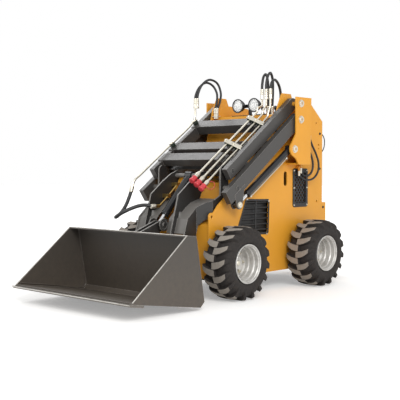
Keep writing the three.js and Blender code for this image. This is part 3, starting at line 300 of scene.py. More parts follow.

# ---- welded body and tower plates -----------------------------------------------------------
# Laser-cut steel plate, 10 mm at the sides and 12 mm at the tower, with folded 4 mm panels. The welded
# body is powder coated in one warm yellow, painted lighter on the edges as wear and a painted highlight.


def coated(name, colour, edge, gloss, edge_wear_and_highlight=0.5, dust=0.25, round_edge=0.003, bare_and_lit_cut_edges=0.0):
    """Powder coat on steel: fine orange peel, rounded edges painted lighter as wear and a painted highlight,
    thin road dust low down.
    """
    material, tree, shader = new_finish(name)
    where = add_node(tree, "ShaderNodeTexCoord").outputs["Object"]
    solid = add_node(tree, "ShaderNodeNewGeometry")
    soft = add_node(tree, "ShaderNodeBevel", {"Radius": round_edge}, samples=4)
    facing = add_node(tree, "ShaderNodeVectorMath", {0: soft.outputs[0], 1: solid.outputs["Normal"]},
        operation="DOT_PRODUCT")
    # Where the rounded edge turns away from the face, the edge colour is painted in: partly wear, partly a
    # painted highlight.
    rim = add_node(tree, "ShaderNodeMapRange", {"Value": facing.outputs["Value"], "From Min": 0.995,
        "From Max": 0.86, "To Max": edge_wear_and_highlight})
    split = add_node(tree, "ShaderNodeSeparateXYZ", {0: solid.outputs["True Normal"]})
    across = add_node(tree, "ShaderNodeMath", {0: split.outputs["X"]}, operation="ABSOLUTE")
    # Faces that do not face sideways, such as the cut edges of flat plates, also take the edge colour as
    # bare steel and a painted highlight.
    cut_face = add_node(tree, "ShaderNodeMapRange", {"Value": across.outputs[0], "From Min": 0.35,
        "From Max": 0.2, "To Max": bare_and_lit_cut_edges})
    wear_and_highlight_mask = add_node(tree, "ShaderNodeMath", {0: rim.outputs[0], 1: cut_face.outputs[0]},
        operation="MAXIMUM")
    cloud = add_node(tree, "ShaderNodeTexNoise", {"Vector": where, "Scale": 5.0, "Detail": 3.0})
    tone = add_node(tree, "ShaderNodeMapRange", {"Value": cloud.outputs[0], "To Min": 0.93, "To Max": 1.05})
    paint = add_node(tree, "ShaderNodeMix", {"Factor": 1.0, "A": linear(colour), "B": tone.outputs[0]},
        data_type="RGBA", blend_type="MULTIPLY")
    tree.links.new(tone.outputs[0], paint.inputs["B"])
    height = add_node(tree, "ShaderNodeSeparateXYZ", {0: where})
    low = add_node(tree, "ShaderNodeMapRange", {"Value": height.outputs["Z"], "From Min": 0.55,
        "From Max": 0.05, "To Max": dust})
    fine = add_node(tree, "ShaderNodeTexNoise", {"Vector": where, "Scale": 34.0, "Detail": 6.0,
        "Roughness": 0.65})
    film = add_node(tree, "ShaderNodeMath", {0: low.outputs[0], 1: fine.outputs[0]}, operation="MULTIPLY")
    dusty = add_node(tree, "ShaderNodeMix", {"Factor": film.outputs[0], "A": paint.outputs["Result"],
        "B": linear("#8C7B66")}, data_type="RGBA")
    # The edge colour is laid over the paint here: wear and a painted highlight.
    worn = add_node(tree, "ShaderNodeMix", {"Factor": wear_and_highlight_mask.outputs[0], "A": dusty.outputs["Result"],
        "B": linear(edge)}, data_type="RGBA")
    sheen = add_node(tree, "ShaderNodeMapRange", {"Value": fine.outputs[0], "To Min": gloss - 0.07,
        "To Max": gloss + 0.12})
    peel = add_node(tree, "ShaderNodeTexNoise", {"Vector": where, "Scale": 420.0, "Detail": 1.0})
    skin = add_node(tree, "ShaderNodeBump", {"Height": peel.outputs[0], "Strength": 0.06,
        "Distance": 0.0006, "Normal": soft.outputs[0]})
    tree.links.new(worn.outputs["Result"], shader.inputs["Base Color"])
    tree.links.new(sheen.outputs[0], shader.inputs["Roughness"])
    tree.links.new(skin.outputs[0], shader.inputs["Normal"])
    return material


def coat_nodes(material, slot, *names):
    """Gives carried-over frame pieces their finish."""
    for name in names:
        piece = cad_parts[name]
        for index in range(len(piece.material_slots)):
            piece.material_slots[index].material = material


SIDES = (("left", 1), ("right", -1))
yellow_coat = coated("yellow_powder_coat", "#E6A02C", "#F6C768", 0.42, edge_wear_and_highlight=0.5, dust=0.15)
coat_nodes(yellow_coat, "yellow", "front_hood", "top_deck", "rear_panel",
    *(f"{part}_{side}" for part in ("side_plate", "tower") for side, _ in SIDES))

# ---- arms, gooseneck and hitch --------------------------------------------------------------
# Folded and welded plate boxes in charcoal powder coat. The neck plates are painted a darker charcoal as
# painted shade, and their cut edges show as thin grey lines, painted as bare steel and a painted highlight.

charcoal_coat = coated("charcoal_powder_coat", "#403E3C", "#A5A19C", 0.36, edge_wear_and_highlight=0.9, dust=0.3)
coat_nodes(charcoal_coat, "charcoal", "lower_arm", "upper_arm")
# The same charcoal as the arms, painted darker as painted shade, with light cut edges as bare steel and a
# painted highlight.
shaded_neck_coat = coated("shaded_charcoal_coat_with_lit_bare_edges", "#262524", "#A8A49E", 0.4, edge_wear_and_highlight=1.0, dust=0.2, bare_and_lit_cut_edges=0.4)
coat_nodes(shaded_neck_coat, "charcoal", "gooseneck", "hitch_plate")

# ---- dark panels, drive motors and controls -------------------------------------------------
# Black e-coated steel and castings that sit behind or between the yellow plates.

black_coat = coated("black_e_coat", "#19191A", "#3B3B3C", 0.5, edge_wear_and_highlight=0.6, dust=0.35)
coat_nodes(black_coat, "black", "floor_plate", "hood_grille", "engine_block", "console", "control_levers",
    *(f"side_louvre_{side}" for side, _ in SIDES),
    *(f"wheel_motor_{end}_{side}" for end in ("front", "rear") for side, _ in SIDES))

# ---- bucket ---------------------------------------------------------------------------------
# A bent 9 mm floor and back between two cheeks, in dark grey enamel that is scuffed by earth inside; its
# edges are painted lighter as wear and a painted highlight.

# The light edge colour here is partly wear and partly a painted highlight.
bucket_enamel = coated("bucket_enamel_scuffed_and_edge_lit", "#3F3B37", "#A39C95", 0.42, edge_wear_and_highlight=0.9, dust=0.3)
coat_nodes(bucket_enamel, "bucket_paint", "bucket_shell")
edge_steel = coated("painted_edge_steel", "#5E5B58", "#C9C6C1", 0.34, edge_wear_and_highlight=1.0, dust=0.35)
coat_nodes(edge_steel, "edge_steel", "cutting_edge")

# ---- wheels: tyres --------------------------------------------------------------------------
# A 20 inch bar-lug tyre of black rubber: a smooth carcass, and two rows of 16 slanted bars, one row
# half a pitch behind the other, whose flat tops are dusty and grey from running.


def tyre_rubber():
    """Moulded tyre rubber: matt black, brown with dust in its grain and grey on the bars' worn tops."""
    material, tree, shader = new_finish("moulded_tyre_rubber")
    where = add_node(tree, "ShaderNodeTexCoord").outputs["Object"]
    worn = add_node(tree, "ShaderNodeAttribute", attribute_name="worn")
    grain = add_node(tree, "ShaderNodeTexNoise", {"Vector": where, "Scale": 60.0, "Detail": 5.0,
        "Roughness": 0.7})
    dust = add_node(tree, "ShaderNodeMapRange", {"Value": grain.outputs[0], "From Min": 0.35,
        "From Max": 0.75, "To Max": 0.35})
    wall = add_node(tree, "ShaderNodeMix", {"Factor": dust.outputs[0], "A": linear("#242120"),
        "B": linear("#4A423B")}, data_type="RGBA")
    top = add_node(tree, "ShaderNodeMix", {"Factor": grain.outputs[0], "A": linear("#7B746C"),
        "B": linear("#A59D93")}, data_type="RGBA")
    both = add_node(tree, "ShaderNodeMix", {"Factor": worn.outputs["Fac"], "A": wall.outputs["Result"],
        "B": top.outputs["Result"]}, data_type="RGBA")
    relief = add_node(tree, "ShaderNodeBump", {"Height": grain.outputs[0], "Strength": 0.3,
        "Distance": 0.001})
    shader.inputs["Roughness"].default_value = 0.78
    shader.inputs["Specular IOR Level"].default_value = 0.35
    tree.links.new(both.outputs["Result"], shader.inputs["Base Color"])
    tree.links.new(relief.outputs[0], shader.inputs["Normal"])
    return material


def turned(name, start, way, profile, material, segments=40, sharp=28):
    """A turned piece, from (distance along the axis, radius) in millimetres as a closed line."""
    side = way.orthogonal().normalized()
    up = way.cross(side)
    verts, faces, rings = [], [], []
    for run, radius in profile:
        middle = start + way * run / 1000
        if radius < 0.01:
            rings.append([len(verts)])
            verts.append(middle)
            continue
        rings.append(list(range(len(verts), len(verts) + segments)))
        for k in range(segments):
            a = 2 * math.pi * k / segments
            verts.append(middle + (side * math.cos(a) + up * math.sin(a)) * radius / 1000)
    pairs = list(zip(rings, rings[1:]))
    if len(rings[0]) > 1 and len(rings[-1]) > 1:
        pairs.append((rings[-1], rings[0]))
    for one, two in pairs:
        for k in range(segments):
            n = (k + 1) % segments
            quad = [one[k % len(one)], one[n % len(one)], two[n % len(two)], two[k % len(two)]]
            corners = list(dict.fromkeys(quad))
            if len(corners) > 2:
                faces.append(corners)
    data = plain_mesh(name, verts, faces)
    return finished(name, data, material, sharp)


def painted_copies(tree, copies, material):
    """The end of a node group: its copies made real, in their material."""
    real = add_node(tree, "GeometryNodeRealizeInstances", {0: copies.outputs[0]})
    coat = add_node(tree, "GeometryNodeSetMaterial", {"Geometry": real.outputs[0], "Material": material})
    add_node(tree, "NodeGroupOutput", {0: coat.outputs[0]})
    return tree


def ring_tree(material):
    """Copies a shape evenly round the X axis through a centre, as one mesh."""
    tree = bpy.data.node_groups.new("ring_of_" + material.name, "GeometryNodeTree")
    face = tree.interface
    face.new_socket("Shape", in_out="INPUT", socket_type="NodeSocketGeometry")
    face.new_socket("Count", in_out="INPUT", socket_type="NodeSocketInt")
    face.new_socket("Centre", in_out="INPUT", socket_type="NodeSocketVector")
    face.new_socket("Shape", in_out="OUTPUT", socket_type="NodeSocketGeometry")
    given = add_node(tree, "NodeGroupInput")
    home = add_node(tree, "ShaderNodeVectorMath", {0: given.outputs["Centre"], 1: (-1, -1, -1)},
        operation="MULTIPLY")
    centred = add_node(tree, "GeometryNodeTransform", {"Geometry": given.outputs["Shape"],
        "Translation": home.outputs[0]})
    points = add_node(tree, "GeometryNodePoints", {"Count": given.outputs["Count"],
        "Position": given.outputs["Centre"]})
    order = add_node(tree, "GeometryNodeInputIndex")
    step = add_node(tree, "ShaderNodeMath", {0: 2 * math.pi, 1: given.outputs["Count"]}, operation="DIVIDE")
    angle = add_node(tree, "ShaderNodeMath", {0: order.outputs[0], 1: step.outputs[0]}, operation="MULTIPLY")
    turn = add_node(tree, "ShaderNodeCombineXYZ", {0: angle.outputs[0]})
    copies = add_node(tree, "GeometryNodeInstanceOnPoints", {"Points": points.outputs[0],
        "Instance": centred.outputs[0], "Rotation": turn.outputs[0]})
    return painted_copies(tree, copies, material)


def grown(piece, tree, **values):
    """Runs a node tree on an object and keeps its result as the object's plain mesh."""
    modifier = piece.modifiers.new("grown", "NODES")
    modifier.node_group = tree
    for item in tree.interface.items_tree:
        if item.in_out == "INPUT" and item.name in values:
            modifier[item.identifier] = values[item.name]
    bpy.context.view_layer.update()
    shape = bpy.data.meshes.new_from_object(piece.evaluated_get(bpy.context.evaluated_depsgraph_get()))
    piece.modifiers.clear()
    piece.data = shape
    shape.name = piece.name
    return piece


def joined(name, *pieces):
    """Several meshes made into one object."""
    with bpy.context.temp_override(active_object=pieces[0], object=pieces[0], selected_objects=pieces,
            selected_editable_objects=pieces):
        bpy.ops.object.join()
    pieces[0].name = name
    pieces[0].data.name = name
    return pieces[0]


TYRE_R = 254
BAR_COUNT = 16
# Half of the carcass: (distance from the mid plane, radius), from the crown to the bead.
CARCASS = ((0, 233), (40, 232), (68, 229), (88, 222), (101, 210), (109, 194), (112.5, 176), (110, 158),
    (104, 144), (98, 138), (95, 137), (92, 131), (88, 128.2))
# The bar's foot and top along its length, the sweep round the tyre, and its half width.
BAR_FOOT = ((-12, 232), (20, 232), (50, 231), (76, 226), (96, 214), (106, 200), (111, 184))
BAR_TOP = ((-9, 254), (20, 254), (50, 253.6), (76, 251.6), (97, 246), (108, 231), (113.5, 205))
BAR_SWEEP = (0, -2, -9, -21, -36, -43, -48)
BAR_HALF = (24, 24.5, 23.5, 21, 17, 13, 8)


def tyre_bar(flip, shift):
    """Vertices and faces of one bar on one side of the tyre, and which faces are its worn top."""
    verts, faces, worn = [], [], []
    for (xf, rf), (xt, rt), sweep, half in zip(BAR_FOOT, BAR_TOP, BAR_SWEEP, BAR_HALF):
        for x, r, w in ((xf, rf - 3, -half - 5), (xt, rt - 2.5, -half - 1), (xt, rt, -half + 2),
                (xt, rt, half - 2), (xt, rt - 2.5, half + 1), (xf, rf - 3, half + 5)):
            a = (sweep + w) / TYRE_R + shift
            verts.append((x * flip / 1000, r * math.cos(a) / 1000, r * math.sin(a) / 1000))
    across = 6
    for i in range(len(BAR_FOOT) - 1):
        for k in range(across - 1):
            low = i * across + k
            faces.append((low, low + 1, low + across + 1, low + across))
            worn.append(1.0 if k == 2 and i < 4 else 0.0)
    faces.append(tuple(range(across)))
    faces.append(tuple(range(len(verts) - across, len(verts))))
    worn.extend((0.0, 0.0))
    for i in range(len(BAR_FOOT) - 1):
        faces.append((i * across, (i + 1) * across, (i + 2) * across - 1, (i + 1) * across - 1))
        worn.append(0.0)
    return verts, faces, worn


tyre_black = tyre_rubber()
bar_ring = ring_tree(tyre_black)


def make_tyre(node, body):
    low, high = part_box(node)
    centre = (low + high) / 2
    out = 1 if centre.x > 0 else -1
    rounded = [(x, r) for x, r in CARCASS] + [(-x, r) for x, r in reversed(CARCASS[1:])]
    carcass = turned(node + "_carcass", centre, Vector((1, 0, 0)), rounded, tyre_black, 112, 40)
    carcass.data.attributes.new("worn", "FLOAT", "FACE")
    verts, faces, worn = [], [], []
    for flip, shift in ((1, 0), (-1, math.pi / BAR_COUNT)):
        bar_verts, bar_faces, bar_worn = tyre_bar(flip * out, shift)
        faces.extend(tuple(i + len(verts) for i in face) for face in bar_faces)
        verts.extend(centre + Vector(v) for v in bar_verts)
        worn.extend(bar_worn)
    data = bpy.data.meshes.new(node + "_bars")
    data.from_pydata(verts, [], faces)
    data.attributes.new("worn", "FLOAT", "FACE").data.foreach_set("value", worn)
    bars = finished(node + "_bars", data, tyre_black, 25)
    grown(bars, bar_ring, Count=BAR_COUNT, Centre=tuple(centre))
    tyre = joined(node + "_bar_lug", carcass, bars)
    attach(tyre, body)
    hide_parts(node)


for end in ("front", "rear"):
    for side, _ in SIDES:
        make_tyre(f"tyre_{end}_{side}", f"wheel_{end}_{side}")

# ---- wheels: rims ---------------------------------------------------------------------------
# Two-piece welded steel rims, spun with a deep stepped dish and painted silver. Each one is held to
# its drive motor's hub by six plated wheel bolts.


def metal(name, colour, roughness, grain, spread=0.12, dirt="#6E6458", dirty=0.25, metallic=1.0):
    """Bare, plated or metallic painted metal, with its grain size in millimetres and a little grime."""
    material, tree, shader = new_finish(name)
    where = add_node(tree, "ShaderNodeTexCoord").outputs["Object"]
    fine = add_node(tree, "ShaderNodeTexNoise", {"Vector": where, "Scale": 1000 / grain / 4, "Detail": 3.0})
    patch = add_node(tree, "ShaderNodeTexNoise", {"Vector": where, "Scale": 16.0, "Detail": 5.0,
        "Roughness": 0.7})
    grime = add_node(tree, "ShaderNodeMapRange", {"Value": patch.outputs[0], "From Min": 0.48,
        "From Max": 0.72, "To Max": dirty})
    skin = add_node(tree, "ShaderNodeMix", {"Factor": grime.outputs[0], "A": linear(colour),
        "B": linear(dirt)}, data_type="RGBA")
    gloss = add_node(tree, "ShaderNodeMapRange", {"Value": fine.outputs[0],
        "To Min": roughness - spread / 2, "To Max": roughness + spread})
    relief = add_node(tree, "ShaderNodeBump", {"Height": fine.outputs[0], "Strength": 0.12,
        "Distance": grain / 9000})
    shader.inputs["Metallic"].default_value = metallic
    tree.links.new(skin.outputs["Result"], shader.inputs["Base Color"])
    tree.links.new(gloss.outputs[0], shader.inputs["Roughness"])
    tree.links.new(relief.outputs[0], shader.inputs["Normal"])
    return material


silver_paint = metal("silver_wheel_paint", "#C9C7C3", 0.4, 1.2, dirty=0.5, metallic=0.35)
zinc = metal("bright_zinc_plate", "#D9D4C6", 0.3, 0.8)
RIM = ((13, 0), (13, 26), (11.5, 30), (11.5, 43), (8, 45), (-12, 46), (-14, 52), (-12, 58), (-12, 86),
    (-18, 92), (-18.5, 98), (-8, 104), (16, 106), (24, 111), (58, 112.5), (66, 118), (92, 120), (97, 125),
    (104, 126.5), (107, 129), (108.5, 133), (106.5, 135.5), (101, 135.5), (99, 129.5), (70, 127.2),
    (-60, 127.2), (-84, 129.5), (-86, 135.5), (-92.5, 135.5), (-92.5, 131), (-86, 126), (-75, 122.5),
    (-26, 116), (-26.5, 100), (-26.5, 0))
bolt_ring = ring_tree(zinc)
for end in ("front", "rear"):
    for side, sign in SIDES:
        node = f"rim_{end}_{side}"
        low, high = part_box(f"tyre_{end}_{side}")
        centre = (low + high) / 2
        out = Vector((sign, 0, 0))
        rim = turned(node + "_dish", centre, out, RIM, silver_paint, 72, 24)
        head = turned(node + "_bolts", centre + Vector((-0.0125 * sign, 0.072, 0)), out, ((0, 0), (0, 14),
            (3, 14), (3.5, 10.5), (12, 10.5), (13, 9), (13, 6), (21, 5.5), (21, 0)), zinc, 6, 20)
        grown(head, bolt_ring, Count=6, Centre=tuple(centre + Vector((-0.0125 * sign, 0, 0))))
        cap = turned(node + "_cap", centre + Vector((0.0128 * sign, 0, 0)), out, ((0, 0), (0, 19), (4, 19),
            (7, 15), (8, 0)), zinc, 32)
        joined(node + "_deep_dish", rim, head, cap)
        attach(rim, f"wheel_{end}_{side}")
        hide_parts(node)

# ---- lift and tilt cylinders ----------------------------------------------------------------
# Double acting cylinders: a honed tube in gloss black enamel with a screwed gland, and a hard
# chromed rod. A thin steel line runs under each lift barrel to the port at its rod end.

gloss_black = coated("gloss_black_enamel", "#1D1D1F", "#4A4A4C", 0.2, edge_wear_and_highlight=0.5, dust=0.15)
chrome = metal("hard_chrome", "#DADBDC", 0.1, 0.5, spread=0.05, dirty=0.1)


def cylinder_pair(name, x, base, eye, length, radius, rod_radius, eye_width):
    """The smooth barrel and rod of one cylinder between two points given as (Y, Z)."""
    start, tip = place(x, *base), place(x, *eye)
    way = (tip - start).normalized()
    reach = (tip - start).length * 1000
    across = Vector((1, 0, 0))
    tube_end = length - 24
    barrel = turned(name + "_tube", start, way, ((18, 0), (18, radius - 5), (44, radius - 4), (47, radius),
        (tube_end, radius), (tube_end + 1, radius + 3), (length - 3, radius + 3), (length, radius + 1),
        (length, rod_radius + 3), (length - 3, rod_radius + 0.3), (length - 6, 0)), gloss_black, 40)
    boss = turned(name + "_boss", start - across * eye_width / 2000, across, ((0, 15), (0, 27), (2, 30),
        (eye_width - 2, 30), (eye_width, 27), (eye_width, 15)), gloss_black, 40)
    rod = turned(name + "_bar", start, way, ((300, 0), (300, rod_radius), (reach - 20, rod_radius),
        (reach - 20, 0)), chrome, 32)
    knuckle = turned(name + "_knuckle", tip - across * 0.012, across, ((0, 13), (0, 23), (2, 25), (22, 25),
        (24, 23), (24, 13)), gloss_black, 36)
    return joined(name + "_barrel_tube", barrel, boss), joined(name + "_chromed_rod", rod,
        knuckle), start, way


for side, sign in SIDES:
    barrel, rod, start, way = cylinder_pair(f"lift_{side}", 405 * sign, (690, 1047), (69, 648), 610, 26, 15,
        50)
    below = Vector((0, way.z, -way.y)) * 0.036
    below = below if below.z < 0 else -below
    line = tube(f"lift_line_{side}", smooth_route([start + way * 0.07 + below * 0.7,
        start + way * 0.085 + below, start + way * 0.12 + below * 1.05, start + way * 0.3 + below * 1.05,
        start + way * 0.53 + below * 1.05, start + way * 0.565 + below, start + way * 0.575 + below * 0.7],
        6), 0.0045, zinc, 10)
    ports = [turned(f"lift_port_{n}_{side}", start + way * run + below * 0.62, below.normalized(), ((0, 0),
        (0, 11), (9, 11), (10, 8), (20, 8), (20, 0)), zinc, 6, 20) for n, run in enumerate((0.07, 0.575))]
    joined(f"lift_line_and_ports_{side}", line, *ports)
    for piece, body, node in ((barrel, "lift_barrel_", "lift_barrel_"), (rod, "lift_rod_", "lift_rod_")):
        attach(piece, body + side)
        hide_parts(node + side)
    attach(line, f"lift_barrel_{side}")

barrel, rod, start, way = cylinder_pair("tilt", 0, (25, 851), (-295, 512), 378, 28, 16, 60)
for piece, body in ((barrel, "tilt_barrel"), (rod, "tilt_rod")):
    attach(piece, body)
    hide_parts(body)
brass = metal("yellow_zinc_fittings", "#B99A5C", 0.32, 0.8)
coat_nodes(brass, "zinc", "tilt_port")

# ---- pivot pins -----------------------------------------------------------------------------
# Turned steel pins, bright zinc plated, each with a flanged head welded to the outer plate and a
# grease nipple in a shallow recess. A disc on a short hub stands against each tilt ear of the hitch.

PIN_HEAD = ((-0.5, 0), (-0.5, 29), (3, 29), (4, 25.5), (10.5, 25.5), (12.5, 23), (12.5, 10), (9, 9), (9, 4),
    (16, 3.5), (17, 2), (17, 0))
SMALL_HEAD = ((-0.5, 0), (-0.5, 23), (3, 23), (4, 20), (9, 20), (10.5, 18), (10.5, 8), (8, 7), (8, 3),
    (14, 2.5), (14, 0))
for side, sign in SIDES:
    out = Vector((sign, 0, 0))
    for number, (y, z) in enumerate(((768, 1391), (768, 1270), (690, 1047))):
        head = turned(f"tower_pin_{number}_{side}", place(451.6 * sign, y, z), out, PIN_HEAD, zinc)
        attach(head, "chassis")
    head = turned(f"lift_eye_pin_{side}", place(433.2 * sign, 69, 648), out, SMALL_HEAD, zinc)
    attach(head, "lower_arm")
    disc = turned(f"hitch_disc_{side}", place(33 * sign, -295, 512), out, ((0, 0), (0, 18), (15, 18),
        (15, 41), (17, 44), (24, 44), (26, 41), (26, 30), (23, 28), (23, 17), (32, 16), (33, 13), (33, 0)),
        shaded_neck_coat, 40)
    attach(disc, "bucket")

# ---- hydraulic lines on the arm -------------------------------------------------------------
# Cold drawn steel tube, zinc plated, three on the left and one on the right, gripped between a
# plated strap and moulded blocks. The left ones end in flat-faced couplers with red vinyl dust caps.


def plastic(name, colour, roughness, grain):
    """Moulded plastic or vinyl: a fine leathery skin, with soft patches a little lighter and darker than the
    rest.
    """
    material, tree, shader = new_finish(name)
    where = add_node(tree, "ShaderNodeTexCoord").outputs["Object"]
    skin = add_node(tree, "ShaderNodeTexNoise", {"Vector": where, "Scale": 1000 / grain / 4, "Detail": 2.0})
    cloud = add_node(tree, "ShaderNodeTexNoise", {"Vector": where, "Scale": 25.0, "Detail": 3.0})
    tone = add_node(tree, "ShaderNodeHueSaturation", {"Color": linear(colour), "Saturation": 0.95})
    shade = add_node(tree, "ShaderNodeMapRange", {"Value": cloud.outputs[0], "To Min": 0.75, "To Max": 1.3})
    tree.links.new(shade.outputs[0], tone.inputs["Value"])
    relief = add_node(tree, "ShaderNodeBump", {"Height": skin.outputs[0], "Strength": 0.2,
        "Distance": 0.0004})
    shader.inputs["Roughness"].default_value = roughness
    tree.links.new(tone.outputs[0], shader.inputs["Base Color"])
    tree.links.new(relief.outputs[0], shader.inputs["Normal"])
    return material


red_vinyl = plastic("red_vinyl", "#C4222F", 0.34, 1.5)
block_plastic = plastic("moulded_clamp_blocks", "#1E2A20", 0.45, 1.2)
ARM_COS, ARM_SIN = math.cos(math.radians(35.2)), math.sin(math.radians(35.2))
DOWN_ARM = Vector((0, -ARM_COS, -ARM_SIN))
OFF_ARM = Vector((0, -ARM_SIN, ARM_COS))


def on_upper(x, along, above):
    """A point on the upper frame: millimetres from its rear pin, forward and square to the bar."""
    return place(x, 768 - along * ARM_COS - above * ARM_SIN, 1391 - along * ARM_SIN + above * ARM_COS)


def prism(name, outline, push, material, round_off=0.0015):
    """A flat closed outline pushed along a vector, with its edges eased."""
    count = len(outline)
    verts = [*outline, *(p + push for p in outline)]
    faces = [tuple(range(count)), tuple(range(2 * count - 1, count - 1, -1))]
    faces.extend((k, (k + 1) % count, (k + 1) % count + count, k + count) for k in range(count))
    data = plain_mesh(name, verts, faces)
    shape = bmesh.new()
    shape.from_mesh(data)
    bmesh.ops.recalc_face_normals(shape, faces=shape.faces)
    bmesh.ops.bevel(shape, geom=shape.edges[:], offset=round_off, segments=2, profile=0.5, affect="EDGES",
        clamp_overlap=True)
    shape.to_mesh(data)
    shape.free()
    return finished(name, data, material, 50)


LINES = ((196, 68, 1000), (236, 44, 1013), (276, 20, 1027))
zinc_parts, cap_parts, block_parts = [], [], []
for number, (x, above, front) in enumerate(LINES):
    route = smooth_route([on_upper(x, front + 14, above), on_upper(x, 800, above), on_upper(x, 500, above),
        on_upper(x, 236, above), on_upper(x, 205, above + 4), on_upper(x, 186, above + 20),
        place(x, 619, 1380), place(x, 620, 1404), place(x, 620, 1440)], 8)
    zinc_parts.append(tube(f"line_{number}", route, 0.008, zinc, 16))
    zinc_parts.append(turned(f"line_nut_{number}", place(x, 620, 1424), Vector((0, 0, 1)), ((0, 0), (0, 11),
        (3, 13.5), (18, 13.5), (19, 11), (22, 11), (23, 13), (36, 13), (38, 10), (38, 0)), zinc, 6, 20))
    start = on_upper(x, front, above)
    zinc_parts.append(turned(f"coupler_{number}", start, DOWN_ARM, ((-6, 0), (-6, 10), (0, 13), (12, 13),
        (13, 16.5), (30, 16.5), (31, 14.5), (44, 14.5), (46, 16), (62, 16), (62, 0)), zinc, 28))
    cap_parts.append(turned(f"cap_{number}", start + DOWN_ARM * 0.05, DOWN_ARM, ((0, 16.3), (0, 18.5),
        (4, 21.5), (9, 21.5), (11, 19), (34, 18), (36, 22), (44, 22), (49, 19), (51, 10), (51, 0), (14, 0),
        (14, 16.3)), red_vinyl, 32))
# The two outer caps each hang on a loop that is moulded in one piece with it.
for number, (x, above, front, swing) in enumerate(((196, 68, 1000, -1), (276, 20, 1027, 1))):
    loop = [on_upper(x + 17 * swing, front + 58, above), on_upper(x + 34 * swing, front + 66, above - 12),
        on_upper(x + 46 * swing, front + 50, above - 34), on_upper(x + 44 * swing, front + 8, above - 38),
        on_upper(x + 30 * swing, front - 14, above - 20), on_upper(x + 14 * swing, front + 4, above)]
    cap_parts.append(tube(f"cap_loop_{number}", smooth_route(loop, 10), 0.0024, red_vinyl, 8))
for number, at in enumerate((308, 624)):
    # The strap lies square to the plane of the three lines.
    first, last = on_upper(196, at - 18, 68), on_upper(276, at - 18, 20)
    along_strap = (last - first).normalized()
    up_strap = along_strap.cross(DOWN_ARM).normalized()
    up_strap = up_strap if up_strap.z > 0 else -up_strap
    for kind, ahead, behind, low, high, grow, made in (("strap", 0.018, 0, 0.0115, 0.0175, 0.026,
            zinc_parts), ("block", 0.016, 0.002, -0.013, 0.011, 0.018, block_parts)):
        left, right = first - along_strap * grow, last + along_strap * grow
        shift = DOWN_ARM * behind
        outline = [left + up_strap * low + shift, right + up_strap * low + shift,
            right + up_strap * high + shift, left + up_strap * high + shift]
        made.append(prism(f"{kind}_{number}", outline, DOWN_ARM * ahead * 2,
            zinc if kind == "strap" else block_plastic))
    for step in (-0.21, 0.5, 1.21):
        spot = first.lerp(last, step) + DOWN_ARM * 0.018 + up_strap * 0.0172
        zinc_parts.append(turned(f"strap_bolt_{number}_{step}", spot, up_strap, ((0, 0), (0, 8), (1.5, 8),
            (1.6, 6.5), (6, 6.5), (7, 5), (7, 0)), zinc, 6, 20))
    foot = [on_upper(186, at - 14, 50.2), on_upper(206, at - 14, 50.2), on_upper(206, at - 14, 60),
        on_upper(186, at - 14, 60)]
    block_parts.append(prism(f"foot_{number}", foot, DOWN_ARM * 0.028, block_plastic))
lines_left = joined("left_steel_lines", *zinc_parts)
caps_left = joined("red_dust_caps", *cap_parts)
blocks_left = joined("left_clamp_blocks", *block_parts)
for piece, slot in ((lines_left, "zinc"), (caps_left, "rubber"), (blocks_left, "rubber")):
    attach(piece, "upper_arm")
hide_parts("hard_lines_left")

RIGHT_X, RIGHT_RISE = -373, 71.3
route = smooth_route([place(RIGHT_X, -198, 768), place(RIGHT_X, -193, 785), place(RIGHT_X, -178, 806),
    on_upper(RIGHT_X, 1085, RIGHT_RISE + 2), on_upper(RIGHT_X, 1040, RIGHT_RISE),
    on_upper(RIGHT_X, 700, RIGHT_RISE), on_upper(RIGHT_X, 345, RIGHT_RISE), place(RIGHT_X, 474, 1284),
    place(RIGHT_X, 486, 1322), place(RIGHT_X, 487, 1384)], 8)
right_parts = [tube("right_line_tube", route, 0.008, zinc, 16)]
right_parts.append(turned("right_elbow", place(RIGHT_X, -190, 797),
    (place(0, -198, 768) - place(0, -190, 797)).normalized(), ((-10, 0), (-10, 11), (-2, 13.5), (12, 13.5),
    (13, 11), (15, 13.5), (29, 13.5), (30, 10), (30, 0)), zinc, 6, 20))
yoke = [place(-384, 477, 1377), place(-338, 477, 1377), place(-338, 497, 1377), place(-384, 497, 1377)]
right_parts.append(prism("right_yoke", yoke, Vector((0, 0, 0.015)), zinc, 0.003))
for x in (-373, -349):
    right_parts.append(turned(f"right_fitting_{-x}", place(x, 487, 1392), Vector((0, 0, 1)), ((-14, 0),
        (-14, 9), (0, 9), (0, 12.5), (10, 12.5), (11, 10.5), (14, 10.5), (15, 12.5), (23, 12.5), (24, 10),
        (24, 0)), zinc, 6, 20))
for number, at in enumerate((308, 624)):
    strap = [on_upper(-382, at - 17, 82), on_upper(-346, at - 17, 82), on_upper(-346, at - 17, 87),
        on_upper(-382, at - 17, 87)]
    right_parts.append(prism(f"right_strap_{number}", strap, DOWN_ARM * 0.034, zinc))
    right_parts.append(turned(f"right_strap_bolt_{number}", on_upper(-355, at, 86.6), OFF_ARM, ((0, 0),
        (0, 8), (1.5, 8), (1.6, 6.5), (6, 6.5), (7, 5), (7, 0)), zinc, 6, 20))
    grip = [on_upper(-381, at - 15, 50.3), on_upper(-347, at - 15, 50.3), on_upper(-347, at - 15, 81.8),
        on_upper(-381, at - 15, 81.8)]
    block = prism(f"right_clamp_block_{number}", grip, DOWN_ARM * 0.03, block_plastic)
    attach(block, "upper_arm")
line_right = joined("right_steel_line", *right_parts)
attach(line_right, "upper_arm")
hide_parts("hard_line_right")

# ---- hose ferrules and bulkhead fittings ----------------------------------------------------
# Each hose end is crimped in a ribbed ferrule over a plated steel stem. The fittings go through
# zinc plated brackets on the deck.

coat_nodes(zinc, "zinc", "bulkhead_fittings", "far_bulkhead")


